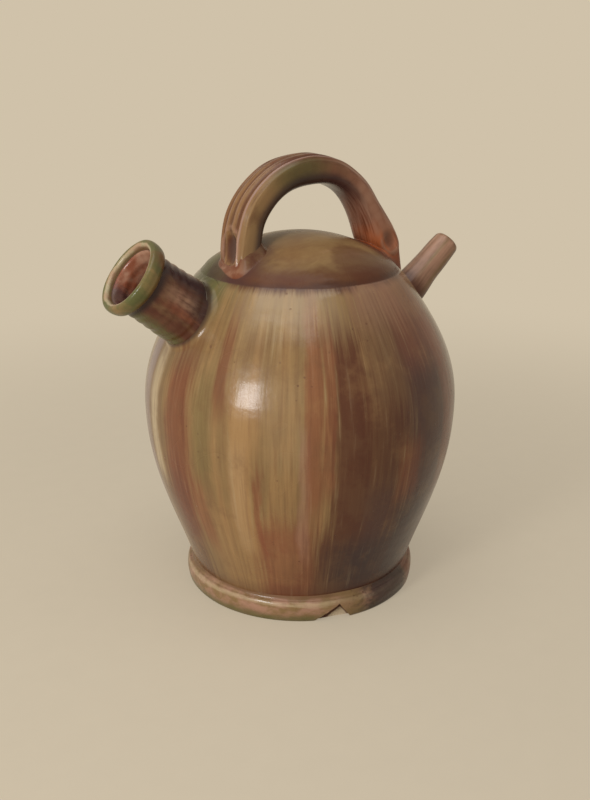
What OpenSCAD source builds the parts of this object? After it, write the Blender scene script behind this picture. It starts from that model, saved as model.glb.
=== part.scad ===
// Cider jug: a thrown, glazed clay jug with a closed domed top, a wide filler neck on one
// side, a narrow pouring spout on the other and a ribbed strap handle over the top.
// Millimetres, +Z up, origin at the centre of the flat base.
// The filler neck points to -X, the pouring spout to +X, the handle stands in the XZ plane.

/* [Body] */
// Radius of the belly at its widest
belly_r = 105; // [95:0.5:118]
// Height of the widest part of the belly
belly_z = 130.5; // [118:0.5:142]
// Radius of the body at its underside
base_r = 71.5; // [62:0.5:80]
// Outward lean of the wall at the foot, as run over rise
base_lean = 0.28; // [0.1:0.02:0.4]
// Radius of the seam between the body and the closing dome
shoulder_r = 66; // [60:0.5:72]
// Height of that seam
shoulder_z = 218.5; // [208:0.5:230]
// Inward lean of the wall at the seam, as run over rise
shoulder_lean = 0.7; // [0.55:0.05:0.85]
// Fullness of the curves next to the belly, as a share of their height
belly_pull = 0.42; // [0.34:0.01:0.5]
// Fullness of the curves next to the foot and the seam, as a share of their height
end_pull = 0.31; // [0.24:0.01:0.38]
// Thickness of the thrown wall
wall = 7; // [5:0.5:9]
// Thickness of the floor
floor_t = 9; // [7:0.5:13]
// Number of bands in each curve of the wall
curve_steps = 16; // [10:2:24]

/* [Closing dome] */
// Rise of the dome above the seam
dome_rise = 23.5; // [18:0.5:30]
// Thickness of the dome
dome_t = 7; // [5:0.5:9]
// Width of the body rim that the dome rests on
lap_w = 4; // [3:0.5:5]
// Depth of the spigot that the dome lets down inside the rim
lap_h = 5; // [3:0.5:7]
// Thickness of the spigot
spigot_t = 4.5; // [3.5:0.5:6]
// Radius of the tooled groove along the seam
seam_groove_r = 1.2; // [0.6:0.1:1.8]

/* [Foot ring] */
// Height of the foot ring
foot_h = 14; // [11:0.5:18]
// Width of the foot ring on the ground
foot_w = 7.8; // [6:0.2:11]
// Width of the foot ring at its top edge
foot_lip = 1; // [0.6:0.1:1.6]
// Swell of the side of the foot ring
foot_swell = 1.2; // [0.4:0.1:2.4]
// Bearing of the chip, from the pouring spout
chip_bearing = -102.5; // [-130:0.5:-75]
// Width of the chip along the ground
chip_w = 17; // [10:0.5:24]
// Height of the chip
chip_h = 9; // [5:0.5:10]
// Depth of the chip into the ring
chip_depth = 4.4; // [3:0.2:4.8]

/* [Filler neck] */
// Height at which the neck axis leaves the wall, from the seam
neck_z = -22; // [-30:0.5:-14]
// Tilt of the neck above level
neck_tilt = 37; // [30:0.5:46]
// Length of the neck from the wall to the front of the collar
neck_len = 49.5; // [40:0.5:60]
// Outer radius of the neck at the wall
neck_base_r = 21.5; // [20:0.5:23.5]
// Outer radius of the neck under the collar
neck_top_r = 20; // [18.5:0.5:22]
// Radius of the bore of the neck
filler_bore_r = 16; // [13:0.5:17]
// Depth of the flare at the mouth
mouth_flare = 5; // [3:0.5:8]
// Thickness of the neck at the edge of the mouth
mouth_edge = 1.2; // [0.8:0.1:1.8]
// Set-back of that edge behind the front of the collar
mouth_recess = 4.5; // [3:0.5:6]
// Step by which the holes pierced in the wall are wider than the bores
pierce_step = 0.8; // [0.4:0.1:1.2]

/* [Mouth collar] */
// Outer radius of the collar
collar_r = 24.6; // [23.4:0.2:27]
// Height of the collar along the neck
collar_h = 11; // [9:0.5:13]
// Opening out of the collar toward its front
collar_flare = 2; // [1:0.2:3]

/* [Pouring spout] */
// Height at which the spout axis leaves the wall, from the seam
spout_z = -28.5; // [-38:0.5:-24]
// Tilt of the spout above level
spout_tilt = 42.5; // [34:0.5:50]
// Length of the spout from the wall to its tip
spout_len = 52; // [42:0.5:62]
// Outer radius of the spout at the wall
spout_base_r = 12.5; // [11:0.5:13.5]
// Outer radius of the spout at its tip
spout_tip_r = 9.2; // [7.5:0.1:10.5]
// Radius of the bore of the spout
spout_bore_r = 4.5; // [3.5:0.25:5.5]

/* [Joint coils] */
// Spread of the coil round the root of the neck
neck_coil_w = 1.8; // [1.2:0.1:2.6]
// Height of that coil up the neck
neck_coil_h = 4; // [3:0.5:6]
// Spread of the coil round the root of the spout
spout_coil_w = 1.6; // [1:0.1:2.4]
// Height of that coil up the spout
spout_coil_h = 3.5; // [2.5:0.5:5]

/* [Carrying handle] */
// Radius of the arch along the middle of the strap
arch_r = 49; // [44:0.5:54]
// Set-back of the arch from the jug axis, toward the spout
arch_back = 3.5; // [0:0.5:7]
// Clear height between the dome and the strap
grip_h = 33; // [26:0.5:42]
// Turn of the front end of the arch past upright
front_tuck = 16; // [14:0.5:20]
// Outward lean of the rear leg
rear_lean = 29; // [24:0.5:32]
// Length of the rear leg below the arch
rear_leg = 46; // [42:0.5:49]
// Width of the strap
strap_w = 30; // [26:0.5:34]
// Thickness of the strap
strap_t = 16.5; // [14:0.5:19]
// Rounding of the strap edges
strap_round = 6.5; // [4:0.5:6.5]
// Number of grooves drawn along the strap
groove_count = 3; // [2:1:4]
// Radius of each groove
groove_r = 3; // [2.2:0.1:3.4]
// Depth of each groove
groove_d = 1.5; // [0.8:0.1:2]
// Turn at which the grooves stop, short of upright at the front
groove_stop = 3; // [1:0.5:8]

/* [Handle pads] */
// Radius of curvature of the front pad
front_pad_r = 26; // [24:0.5:28]
// Height of the front pad over the dome
front_pad_h = 7.5; // [6:0.5:9]
// Radius of curvature of the rear pad
rear_pad_r = 23; // [21:0.5:25]
// Set-back of the rear pad behind the outer face of the strap
rear_pad_in = 0.6; // [0.4:0.1:1.4]
// Distance of the middle of the rear pad down the rear leg, as a share of it
rear_pad_down = 0.92; // [0.88:0.01:0.96]
// Radius of the thumb that pressed the strap down
press_r = 11; // [9:0.5:13]
// Depth of the thumb press
press_d = 2.2; // [1.2:0.1:3]
// Distance of the thumb press from the end of the strap
press_up = 9; // [7:0.5:12]

/* [Hidden] */
$fn = 240;

// A cutter runs past the faces it opens by this much
past = 1;
// The neck and the spout are started this far inside the wall and then trimmed to it
root = 2 * wall;

// The wall: a straight foot, a lower curve up to the belly and an upper curve to the seam
waist_r = base_r + base_lean * foot_h;
lower_rise = belly_z - foot_h;
upper_rise = shoulder_z - belly_z;
lower = [[waist_r, foot_h],
    [waist_r + base_lean * end_pull * lower_rise, foot_h + end_pull * lower_rise],
    [belly_r, belly_z - belly_pull * lower_rise],
    [belly_r, belly_z]];
upper = [[belly_r, belly_z],
    [belly_r, belly_z + belly_pull * upper_rise],
    [shoulder_r + shoulder_lean * end_pull * upper_rise, shoulder_z - end_pull * upper_rise],
    [shoulder_r, shoulder_z]];

// Point on a curve with four control points, and the direction of the curve there
function on_curve(c, t) = pow(1 - t, 3) * c[0] + 3 * pow(1 - t, 2) * t * c[1]
    + 3 * (1 - t) * pow(t, 2) * c[2] + pow(t, 3) * c[3];
function along_curve(c, t) = pow(1 - t, 2) * (c[1] - c[0]) + 2 * (1 - t) * t * (c[2] - c[1])
    + pow(t, 2) * (c[3] - c[2]);
// Point set back from a curve, into the wall
function behind_curve(c, t) = on_curve(c, t)
    + wall / norm(along_curve(c, t)) * [-along_curve(c, t)[1], along_curve(c, t)[0]];

outer_wall = concat([[base_r, 0]],
    [for (i = [0 : curve_steps - 1]) on_curve(lower, i / curve_steps)],
    [for (i = [0 : curve_steps]) on_curve(upper, i / curve_steps)]);
inner_wall = concat(
    [for (i = [0 : curve_steps - 1]) behind_curve(lower, i / curve_steps)],
    [for (i = [0 : curve_steps]) behind_curve(upper, i / curve_steps)]);
inner_foot = inner_wall[0];
inner_top = inner_wall[len(inner_wall) - 1];

// Outer radius of the wall at a height
function wall_r(z) = lookup(z, [for (p = outer_wall) [p[1], p[0]]]);

// The dome is a cap of a sphere
dome_r = (pow(shoulder_r, 2) + pow(dome_rise, 2)) / (2 * dome_rise);
dome_top = shoulder_z + dome_rise;
dome_c = dome_top - dome_r;
seat_r = shoulder_r - lap_w;

// Places on the wall that the neck and the spout start from
neck_start = [-wall_r(shoulder_z + neck_z), 0, shoulder_z + neck_z];
spout_start = [wall_r(shoulder_z + spout_z), 0, shoulder_z + spout_z];

// Height of the dome at a distance from the jug axis
function dome_z(x) = dome_c + sqrt(pow(dome_r, 2) - pow(x, 2));

// The handle: an arch whose front end is set into the dome, and a rear leg that leans out
arch_z = dome_top + grip_h + strap_t / 2 - arch_r;
front_x = arch_back - arch_r;
groove_pitch = strap_w / (groove_count + 1);

// The front pad faces along the radius of the dome under the front leg
front_facing = [front_x, dome_z(front_x) - dome_c] / dome_r;
front_pad = [front_x, dome_z(front_x)] - (front_pad_r - front_pad_h) * front_facing;
// The rear pad keeps its place behind the outer face of the rear leg, near its end
rear_pad = [arch_back, arch_z]
    + (arch_r + strap_t / 2 - rear_pad_in - rear_pad_r) * [cos(rear_lean), sin(rear_lean)]
    + rear_pad_down * rear_leg * [sin(rear_lean), -cos(rear_lean)];
// The thumb presses stand off the outer face of the strap by this much
press_off = strap_t / 2 + press_r - press_d;

// Radial half of the cap of a sphere about the centre of the dome, above the seam
module dome_half(r) {
    intersection() {
        translate([0, dome_c]) circle(r);
        translate([0, shoulder_z]) square([dome_r, dome_rise + past]);
    }
}

// Radial half of the thrown wall, filled solid
module wall_half() {
    polygon(concat([[0, 0]], outer_wall, [[0, shoulder_z]]));
}

module seam_groove() {
    translate([shoulder_r, shoulder_z]) circle(seam_groove_r, $fn = 24);
}

// The whole outside as one solid, used to seat the applied pieces on it
module outside() {
    rotate_extrude() difference() {
        union() {
            wall_half();
            dome_half(dome_r);
        }
        seam_groove();
    }
}

// Places whose +Z runs out along the neck and along the spout, from the wall
module at_neck() {
    translate(neck_start) rotate([0, neck_tilt - 90, 0]) children();
}

module at_spout() {
    translate(spout_start) rotate([0, 90 - spout_tilt, 0]) children();
}

// A rod along one of those places, from inside the wall to a height outside it
module rod(r, height) {
    translate([0, 0, -2 * root]) cylinder(2 * root + height, r = r);
}

// The body with its floor, open at the shoulder and pierced for the neck and the spout
module body() {
    color("peru") difference() {
        rotate_extrude() difference() {
            wall_half();
            intersection() {
                polygon(concat([[0, 0], [inner_foot[0] - base_lean * inner_foot[1], 0]],
                    inner_wall, [[0, inner_top[1]]]));
                translate([0, floor_t]) square([belly_r, shoulder_z]);
            }
            translate([0, belly_z]) square([seat_r, upper_rise + past]);
            seam_groove();
        }
        at_neck() rod(filler_bore_r + pierce_step, root);
        at_spout() rod(spout_bore_r + pierce_step, root);
    }
}

// The cap that closes the top, with a spigot let down inside the rim
module closing_dome() {
    color("olivedrab") rotate_extrude() difference() {
        union() {
            difference() {
                dome_half(dome_r);
                dome_half(dome_r - dome_t);
            }
            translate([seat_r - spigot_t, shoulder_z - lap_h]) square([spigot_t, lap_h + past]);
        }
        seam_groove();
    }
}

// The ring applied round the base, chipped at the front
module foot_ring() {
    edge = [[base_r + foot_w, 0],
        [base_r + foot_w + foot_swell, foot_h / 2],
        [base_r + foot_w + foot_swell / 2, foot_h * 3 / 4],
        [waist_r + foot_lip, foot_h]];
    color("burlywood") difference() {
        rotate_extrude() polygon(concat([[base_r, 0]],
            [for (i = [0 : curve_steps / 2]) on_curve(edge, 2 * i / curve_steps)],
            [[waist_r, foot_h]]));
        rotate([0, 0, chip_bearing]) translate([base_r + foot_w - chip_depth, 0, 0])
            rotate([90, 0, 90]) linear_extrude(2 * foot_w) polygon([[-chip_w * 2 / 3, -past],
                [-chip_w * 2 / 3, 0], [0, chip_h], [chip_w / 3, 0], [chip_w / 3, -past]]);
    }
}

// The neck that the jug is filled through, flared at the mouth
module filler_neck() {
    mouth = neck_len - mouth_recess;
    color("saddlebrown") difference() {
        at_neck() rotate_extrude() polygon([[filler_bore_r, -root], [neck_base_r, -root],
            [neck_base_r, neck_coil_h], [neck_top_r, neck_len - collar_h], [neck_top_r, mouth],
            [neck_top_r - mouth_edge, mouth], [filler_bore_r, mouth - mouth_flare]]);
        outside();
    }
}

// The rounded bead round the mouth
module mouth_collar() {
    color("darkkhaki") at_neck() rotate_extrude() intersection() {
        translate([collar_r - collar_h / 2, neck_len - collar_h / 2]) circle(collar_h / 2);
        polygon([[neck_top_r, 0], [collar_r + past, 0], [collar_r + past, neck_len],
            [neck_top_r + collar_flare, neck_len], [neck_top_r, neck_len - mouth_recess]]);
    }
}

// A roll of clay worked into the angle between a tube and the wall, before it is trimmed
module coil(tube_r, spread, height) {
    roll = [[tube_r, height], [tube_r + spread / 4, height / 3],
        [tube_r + spread * 4 / 3, 0], [tube_r + spread * 2, -height]];
    rotate_extrude() polygon(concat([[tube_r, -root]],
        [for (i = [0 : curve_steps / 2]) on_curve(roll, 2 * i / curve_steps)],
        [[tube_r + spread * 2, -root]]));
}

module neck_joint_coil() {
    color("darkolivegreen") difference() {
        at_neck() coil(neck_base_r, neck_coil_w, neck_coil_h);
        outside();
    }
}

// The narrow spout, rounded at its tip
module pouring_spout() {
    tip = (spout_tip_r - spout_bore_r) / 2;
    color("rosybrown") difference() {
        at_spout() rotate_extrude() {
            polygon([[spout_bore_r, -root], [spout_base_r, -root], [spout_base_r, spout_coil_h],
                [spout_tip_r, spout_len - tip], [spout_bore_r, spout_len - tip]]);
            translate([spout_bore_r + tip, spout_len - tip]) circle(tip, $fn = 32);
        }
        outside();
    }
}

module spout_joint_coil() {
    color("darkolivegreen") difference() {
        at_spout() coil(spout_base_r, spout_coil_w, spout_coil_h);
        outside();
    }
}

// Section of the strap, its outer face toward +X
module strap_section() {
    square([strap_t - 2 * strap_round, strap_w], center = true);
    square([strap_t, strap_w - 2 * strap_round], center = true);
    for (x = [-1, 1], y = [-1, 1])
        translate([x * (strap_t / 2 - strap_round), y * (strap_w / 2 - strap_round)])
            circle(strap_round, $fn = 32);
}

// Section of the grooves drawn along the outer face
module groove_section() {
    for (i = [1 : groove_count])
        translate([strap_t / 2 + groove_r - groove_d, i * groove_pitch - strap_w / 2])
            circle(groove_r, $fn = 32);
}

// Place in the plane of the handle, turned so that +X is square to the rear leg
module at_arch() {
    translate([arch_back, 0, arch_z]) rotate([90, 0, 0]) rotate([0, 0, rear_lean]) children();
}

// A section drawn up the rear leg and round the arch
module drawn(leg, turn) {
    rotate_extrude(angle = turn) translate([arch_r, 0]) children();
    translate([arch_r, 0, 0]) rotate([90, 0, 0]) linear_extrude(leg) children();
}

// The plain strap, before it is seated
module strap() {
    at_arch() drawn(rear_leg, 180 - rear_lean + front_tuck) strap_section();
}

module front_press() {
    translate([front_x - press_off, 0, dome_z(abs(front_x) + strap_t / 2) + press_up])
        sphere(press_r);
}

// The strap, grooved along its outer face and pressed down with a thumb at both ends
module carrying_handle() {
    color("sienna") difference() {
        strap();
        outside();
        at_arch() drawn(rear_leg - press_up, 180 - rear_lean - groove_stop) groove_section();
        at_arch() translate([arch_r + press_off, press_up - rear_leg, 0]) sphere(press_r);
        front_press();
    }
}

// A wad of clay round a foot of the strap, kept clear of the neck and the spout
module pad(centre, r) {
    difference() {
        translate([centre[0], 0, centre[1]]) sphere(r);
        outside();
        strap();
        front_press();
        at_neck() rod(neck_base_r + neck_coil_w * 3 / 2, neck_len);
        at_spout() rod(spout_base_r + spout_coil_w * 3 / 2, spout_len);
    }
}

module front_handle_pad() {
    color("olive") pad(front_pad, front_pad_r);
}

module rear_handle_pad() {
    color("chocolate") pad(rear_pad, rear_pad_r);
}

body();
closing_dome();
foot_ring();
filler_neck();
mouth_collar();
neck_joint_coil();
pouring_spout();
spout_joint_coil();
carrying_handle();
front_handle_pad();
rear_handle_pad();
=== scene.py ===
"""Looks of a glazed clay cider jug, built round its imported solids.

A thrown body is closed by a low dome. A wide filler neck with a beaded mouth leaves it on one
side, a narrow pouring spout on the other, and a ribbed strap handle is arched over the top.
Lengths are in metres, +Z is up, the filler neck points to -X and the pouring spout to +X.
"""

import math

import bmesh
import bpy
from mathutils import Matrix, Vector, noise


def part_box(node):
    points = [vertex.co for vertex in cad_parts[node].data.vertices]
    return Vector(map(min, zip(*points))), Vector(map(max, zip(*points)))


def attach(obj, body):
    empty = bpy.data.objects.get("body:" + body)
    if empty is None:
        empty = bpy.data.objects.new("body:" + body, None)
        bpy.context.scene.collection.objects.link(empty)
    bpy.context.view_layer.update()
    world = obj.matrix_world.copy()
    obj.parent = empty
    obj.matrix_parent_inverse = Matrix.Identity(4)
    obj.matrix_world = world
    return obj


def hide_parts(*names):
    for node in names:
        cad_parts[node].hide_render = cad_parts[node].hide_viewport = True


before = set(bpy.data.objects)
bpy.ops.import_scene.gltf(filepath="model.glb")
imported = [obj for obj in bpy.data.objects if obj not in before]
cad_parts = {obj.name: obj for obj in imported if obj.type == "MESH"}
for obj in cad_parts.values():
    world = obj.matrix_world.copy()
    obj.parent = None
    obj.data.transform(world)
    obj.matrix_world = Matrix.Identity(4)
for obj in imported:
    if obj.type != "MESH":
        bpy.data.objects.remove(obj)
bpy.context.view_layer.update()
BODY_LOW, BODY_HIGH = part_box("body")
HANDLE_LOW, HANDLE_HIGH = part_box("carrying_handle")

bl_info = {
    "name": "Cider Jug",
    "version": (1, 0, 0),
    "blender": (4, 5, 0),
    "location": "View3D > Sidebar > Jug",
    "description": "Builds the pieces, the glazes and the stage of a clay cider jug",
    "category": "Object",
}

# Keeps the wobble of the clay the same in every run
WOBBLE_SEED = 4
# How far the front foot of the strap is bent out of the plane of the arch
FRONT_BEND = Vector((-0.0042, -0.0072, -0.006))
# Roundness of the section of the strap, from 0 for a box to 1 for an ellipse
STRAP_ROUNDNESS = 0.66
# Depth and spread of the wobble of the strap
STRAP_SWAY = 0.0006
STRAP_SWAY_SPREAD = 0.02
# Rib value of the plain skin of the strap, between 0 in a groove and 1 on a crest
PLAIN_RIB = 0.75


def paint(red, green, blue):
    """Linear colour of a paint given by how it looks, each channel from 0 to 255."""
    shares = [channel / 255 for channel in (red, green, blue)]
    return tuple(s / 12.92 if s <= 0.04045 else ((s + 0.055) / 1.055) ** 2.4 for s in shares)


def length(label, words, default):
    """A length that a user may change."""
    return bpy.props.FloatProperty(
        name=label, description=words, default=default, unit="LENGTH", precision=4
    )


def turn(label, words, degrees):
    """An angle that a user may change."""
    return bpy.props.FloatProperty(
        name=label, description=words, default=math.radians(degrees), subtype="ANGLE"
    )


def share(label, words, default):
    """A plain number that a user may change."""
    return bpy.props.FloatProperty(name=label, description=words, default=default, subtype="FACTOR")


def power(label, words, default):
    """A power of a lamp that a user may change."""
    return bpy.props.FloatProperty(
        name=label, description=words, default=default, subtype="POWER", unit="POWER"
    )


def colour(label, words, default):
    """A colour that a user may change."""
    return bpy.props.FloatVectorProperty(
        name=label, description=words, default=default, size=3, min=0, max=1, subtype="COLOR"
    )


class JugBodySizes(bpy.types.PropertyGroup):
    """Sizes of the thrown body, its dome and its foot ring."""

    belly_radius: length("Belly radius", "Radius at the widest part", (BODY_HIGH.x - BODY_LOW.x) / 2)
    belly_height: length("Belly height", "Height of the widest part", 0.1305)
    base_radius: length("Base radius", "Radius of the underside", 0.0715)
    base_lean: share("Base lean", "Outward lean of the wall at the foot, as run over rise", 0.28)
    shoulder_radius: length("Shoulder radius", "Radius of the seam under the dome", 0.066)
    shoulder_height: length("Shoulder height", "Height of the seam under the dome", BODY_HIGH.z)
    shoulder_lean: share("Shoulder lean", "Inward lean of the wall at the seam", 0.7)
    belly_pull: share("Belly pull", "Fullness of the wall next to the belly", 0.42)
    end_pull: share("End pull", "Fullness of the wall next to the foot and the seam", 0.31)
    wall: length("Wall", "Thickness of the thrown wall", 0.007)
    floor: length("Floor", "Thickness of the floor", 0.009)
    dome_rise: length("Dome rise", "Rise of the dome above the seam", 0.0235)
    rim_width: length("Rim width", "Width of the body rim that carries the dome", 0.004)
    spigot_depth: length("Spigot depth", "Depth of the dome's spigot inside the rim", 0.005)
    spigot_width: length("Spigot width", "Thickness of the dome's spigot", 0.0045)
    seam_width: length("Seam width", "Half width of the hollow along the seam", 0.0045)
    seam_depth: length("Seam depth", "Depth of the hollow along the seam", 0.0013)
    foot_height: length("Foot height", "Height of the foot ring", 0.014)
    foot_width: length("Foot width", "Width of the foot ring on the ground", 0.0078)
    chip_bearing: turn("Chip bearing", "Bearing of the chip in the foot ring", -102.5)
    chip_width: length("Chip width", "Width of the chip along the ground", 0.0255)
    chip_height: length("Chip height", "Height of the chip", 0.0112)
    chip_depth: length("Chip depth", "Depth of the chip into the ring", 0.0044)


class JugTubeSizes(bpy.types.PropertyGroup):
    """Sizes of the filler neck, its collar, the pouring spout and the joint coils."""

    neck_drop: length("Neck drop", "Drop of the neck axis below the seam, at the wall", 0.022)
    neck_tilt: turn("Neck tilt", "Tilt of the neck above level", 37.0)
    neck_length: length("Neck length", "Length from the wall to the front of the collar", 0.0495)
    neck_root_radius: length("Neck root radius", "Outer radius of the neck at the wall", 0.0215)
    neck_top_radius: length("Neck top radius", "Outer radius of the neck under the collar", 0.02)
    neck_bore: length("Neck bore", "Radius of the bore of the neck", 0.016)
    collar_radius: length("Collar radius", "Outer radius of the collar", 0.0246)
    collar_height: length("Collar height", "Height of the collar along the neck", 0.011)
    mouth_recess: length("Mouth recess", "Set-back of the mouth behind the collar", 0.0045)
    spout_drop: length("Spout drop", "Drop of the spout axis below the seam, at the wall", 0.0285)
    spout_tilt: turn("Spout tilt", "Tilt of the spout above level", 42.5)
    spout_length: length("Spout length", "Length from the wall to the tip", 0.052)
    spout_root_radius: length("Spout root radius", "Outer radius of the spout at the wall", 0.0125)
    spout_tip_radius: length("Spout tip radius", "Outer radius of the spout at its tip", 0.0092)
    spout_bore: length("Spout bore", "Radius of the bore of the spout", 0.0045)
    pierce_step: length("Pierce step", "Step by which the pierced holes are wider than the bores", 0.0008)
    neck_coil_spread: length("Neck coil spread", "Spread of the coil at the root of the neck", 0.006)
    neck_coil_height: length("Neck coil height", "Height of that coil up the neck", 0.0055)
    spout_coil_spread: length("Spout coil spread", "Spread of the coil at the root of the spout", 0.0045)
    spout_coil_height: length("Spout coil height", "Height of that coil up the spout", 0.0045)
    root_depth: length("Root depth", "Depth to which tubes and coils are let into the wall", 0.0045)


class JugHandleSizes(bpy.types.PropertyGroup):
    """Sizes of the carrying handle and its pads."""

    arch_radius: length("Arch radius", "Radius of the arch along the middle of the strap", 0.049)
    arch_back: length("Arch back", "Set-back of the arch from the jug axis", 0.0035)
    arch_top: length("Arch top", "Height of the top of the strap", HANDLE_HIGH.z)
    front_tuck: turn("Front tuck", "Turn of the front end of the arch past upright", 16.0)
    rear_lean: turn("Rear lean", "Outward lean of the rear leg", 29.0)
    rear_leg: length("Rear leg", "Length of the rear leg below the arch", 0.046)
    strap_width: length("Strap width", "Width of the strap", HANDLE_HIGH.y - HANDLE_LOW.y)
    strap_thickness: length("Strap thickness", "Thickness of the strap at the front", 0.0165)
    crown_swell: length("Crown swell", "Extra thickness of the inner face over the arch", 0.0034)
    rear_swell: length("Rear swell", "Extra thickness of the outer face low on the rear leg", 0.0036)
    rear_fill: length("Rear fill", "Extra thickness of the inner face at the rear foot", 0.0045)
    foot_taper: length("Foot taper", "Thinning of the outer face at the end of the rear foot", 0.0035)
    rib_count: bpy.props.IntProperty(name="Rib count", description="Ribs along the strap", default=4)
    groove_depth: length("Groove depth", "Depth of the grooves between the ribs", 0.0021)
    press_depth: length("Press depth", "Depth of the thumb presses at the feet", 0.005)
    front_pad_reach: length("Front pad reach", "Reach of the front pad beyond the strap", 0.006)
    rear_pad_reach: length("Rear pad reach", "Reach of the rear pad beyond the strap", 0.0085)


class JugGlazeColours(bpy.types.PropertyGroup):
    """Colours of the glazes and the clay."""

    olive: colour("Olive", "Main glaze over a pale slip", paint(137, 109, 71))
    ochre: colour("Ochre", "Golden runs where the glaze is thin", paint(163, 126, 82))
    # Cream is also laid as a painted highlight on the top edge of the foot ring and beside the window's
    # reflection on the body, and as a painted reflection along the body's left edge
    cream: colour("Cream", "Pale streaks and the worn lip", paint(205, 184, 148))
    umber: colour("Umber", "Brown glaze of the dome and the handle", paint(112, 81, 55))
    red_brown: colour("Red brown", "Iron runs", paint(132, 74, 50))
    # Dark brown is also laid as painted shade: along the seam, under the edges of the chip, deep in the
    # neck's bore, under and at the root of the spout, on the spout side of the dome, in the thumb presses
    # and at the rim of the front wad
    dark_brown: colour("Dark brown", "Thick iron glaze", paint(86, 46, 31))
    # Purple brown is also laid as painted shade: on the body's side turned from the window, beside the
    # handle's feet on the dome and at the rim of the rear wad
    purple_brown: colour("Purple brown", "Dark glaze of the spout side", paint(78, 50, 48))
    # Plum is also laid as painted shade: along the seam, beside the tubes, on the neck under the collar
    # and at its root, on the inner face of the strap, in the thumb presses, and on the side of the body
    # and the foot ring turned from the window
    plum: colour("Plum", "Darkest glaze, pooled in hollows", paint(54, 37, 40))
    # Orange is also laid stronger on the inner face of the strap's rear foot, which faces the window, as
    # painted light
    orange: colour("Orange", "Bright patches under thin glaze", paint(186, 100, 52))
    # Tan pink is also laid as painted light on the near side of the rear leg, on the lips of the thumb
    # presses and on the near side of the neck
    tan_pink: colour("Tan pink", "Thin glaze over pink clay", paint(168, 128, 104))
    moss: colour("Moss", "Green tint of the glaze", paint(90, 90, 50))
    # Lavender is a painted reflection of the pale room, along the body's left edge and on the crests of
    # the strap
    lavender: colour("Lavender", "Milky bloom of the glaze", paint(150, 134, 142))
    raw_clay: colour("Raw clay", "Broken clay in the chip", paint(216, 196, 164))


class JugStageSettings(bpy.types.PropertyGroup):
    """Settings of the floor, the lights and the camera."""

    paper: colour("Backdrop", "Colour of the floor and the backdrop", paint(208, 194, 170))
    window_power: power("Window power", "Power of the window light", 9.5)
    top_power: power("Top power", "Power of the broad light above", 16.0)
    room_light: share("Room light", "Strength of the even light of the room", 0.3)
    camera_place: bpy.props.FloatVectorProperty(
        name="Camera place", description="Where the camera stands", default=(-0.3364, -0.549, 0.3422),
        size=3, subtype="TRANSLATION", unit="LENGTH"
    )
    camera_pitch: turn("Camera pitch", "Downward pitch of the camera", 18.56)
    camera_turn: turn("Camera turn", "Turn of the camera left of the jug axis", 0.29)
    camera_lens: bpy.props.FloatProperty(
        name="Camera lens", description="Focal length of the camera", default=44.45, unit="CAMERA"
    )


SETTINGS = {
    "jug_body": JugBodySizes,
    "jug_tubes": JugTubeSizes,
    "jug_handle": JugHandleSizes,
    "jug_glazes": JugGlazeColours,
    "jug_stage": JugStageSettings,
}


# Sections and meshes


def on_curve(control, along):
    """Point on a curve with four control points."""
    first, second, third, fourth = control
    rest = 1 - along
    near_start = first * rest**3 + second * (3 * rest**2 * along)
    return near_start + third * (3 * rest * along**2) + fourth * along**3


def curve_points(control, steps):
    """Points along such a curve, from its start to its end."""
    return [on_curve(control, step / steps) for step in range(steps + 1)]


def ease(value, low, high):
    """Smooth step from 0 at low to 1 at high."""
    part = min(max((value - low) / (high - low), 0.0), 1.0)
    return part * part * (3 - 2 * part)


def bell(value, width):
    """Soft bump of height 1 about zero."""
    return math.exp(-((value / width) ** 2))


def wall_points(body):
    """Outer wall from the underside up to the seam, as points of radius and height."""
    waist = body.base_radius + body.base_lean * body.foot_height
    lower_rise = body.belly_height - body.foot_height
    upper_rise = body.shoulder_height - body.belly_height
    belly = Vector((body.belly_radius, body.belly_height))
    seam = Vector((body.shoulder_radius, body.shoulder_height))
    start = Vector((waist, body.foot_height))
    lower = (
        start,
        start + Vector((body.base_lean, 1)) * body.end_pull * lower_rise,
        belly - Vector((0, body.belly_pull * lower_rise)),
        belly,
    )
    upper = (
        belly,
        belly + Vector((0, body.belly_pull * upper_rise)),
        seam + Vector((body.shoulder_lean, -1)) * body.end_pull * upper_rise,
        seam,
    )
    points = [Vector((body.base_radius, 0))]
    points += curve_points(lower, 44)[:-1]
    points += curve_points(upper, 60)
    return points


def dome_points(body):
    """Outer face of the dome from the seam to the jug axis."""
    radius = (body.shoulder_radius**2 + body.dome_rise**2) / (2 * body.dome_rise)
    centre = body.shoulder_height + body.dome_rise - radius
    widest = math.asin(body.shoulder_radius / radius)
    steps = 44
    angles = [widest * (1 - step / steps) for step in range(steps + 1)]
    return [Vector((radius * math.sin(angle), centre + radius * math.cos(angle))) for angle in angles]


def set_back(points, depth):
    """Points moved square to their own line, to the left of the way it runs."""
    moved = []
    for place, point in enumerate(points):
        before = points[max(place - 1, 0)]
        after = points[min(place + 1, len(points) - 1)]
        way = (after - before).normalized()
        moved.append(point + Vector((-way.y, way.x)) * depth[place])
    return moved


def outer_form(body):
    """Wall and dome as two lines of points that dip into the hollow along the seam."""
    wall = wall_points(body)
    seam = wall[-1]

    def dipped(points):
        depth = [body.seam_depth * bell((point - seam).length, body.seam_width) for point in points]
        return set_back(points, depth)

    return dipped(wall), dipped(dome_points(body))


def radius_at(points, height):
    """Outer radius at a height, on a line of points that rises; nothing above its end."""
    for low, high in zip(points, points[1:]):
        if low.y <= height <= high.y:
            return low.x + (high.x - low.x) * (height - low.y) / (high.y - low.y)
    return 0.0


def tube_place(body, drop, tilt, side):
    """Frame of a tube on the -X or the +X side: its start on the wall, +Z out along its axis."""
    height = body.shoulder_height - drop
    start = Vector((side * radius_at(wall_points(body), height), 0, height))
    return Matrix.Translation(start) @ Matrix.Rotation(side * (math.pi / 2 - tilt), 4, "Y")


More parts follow.
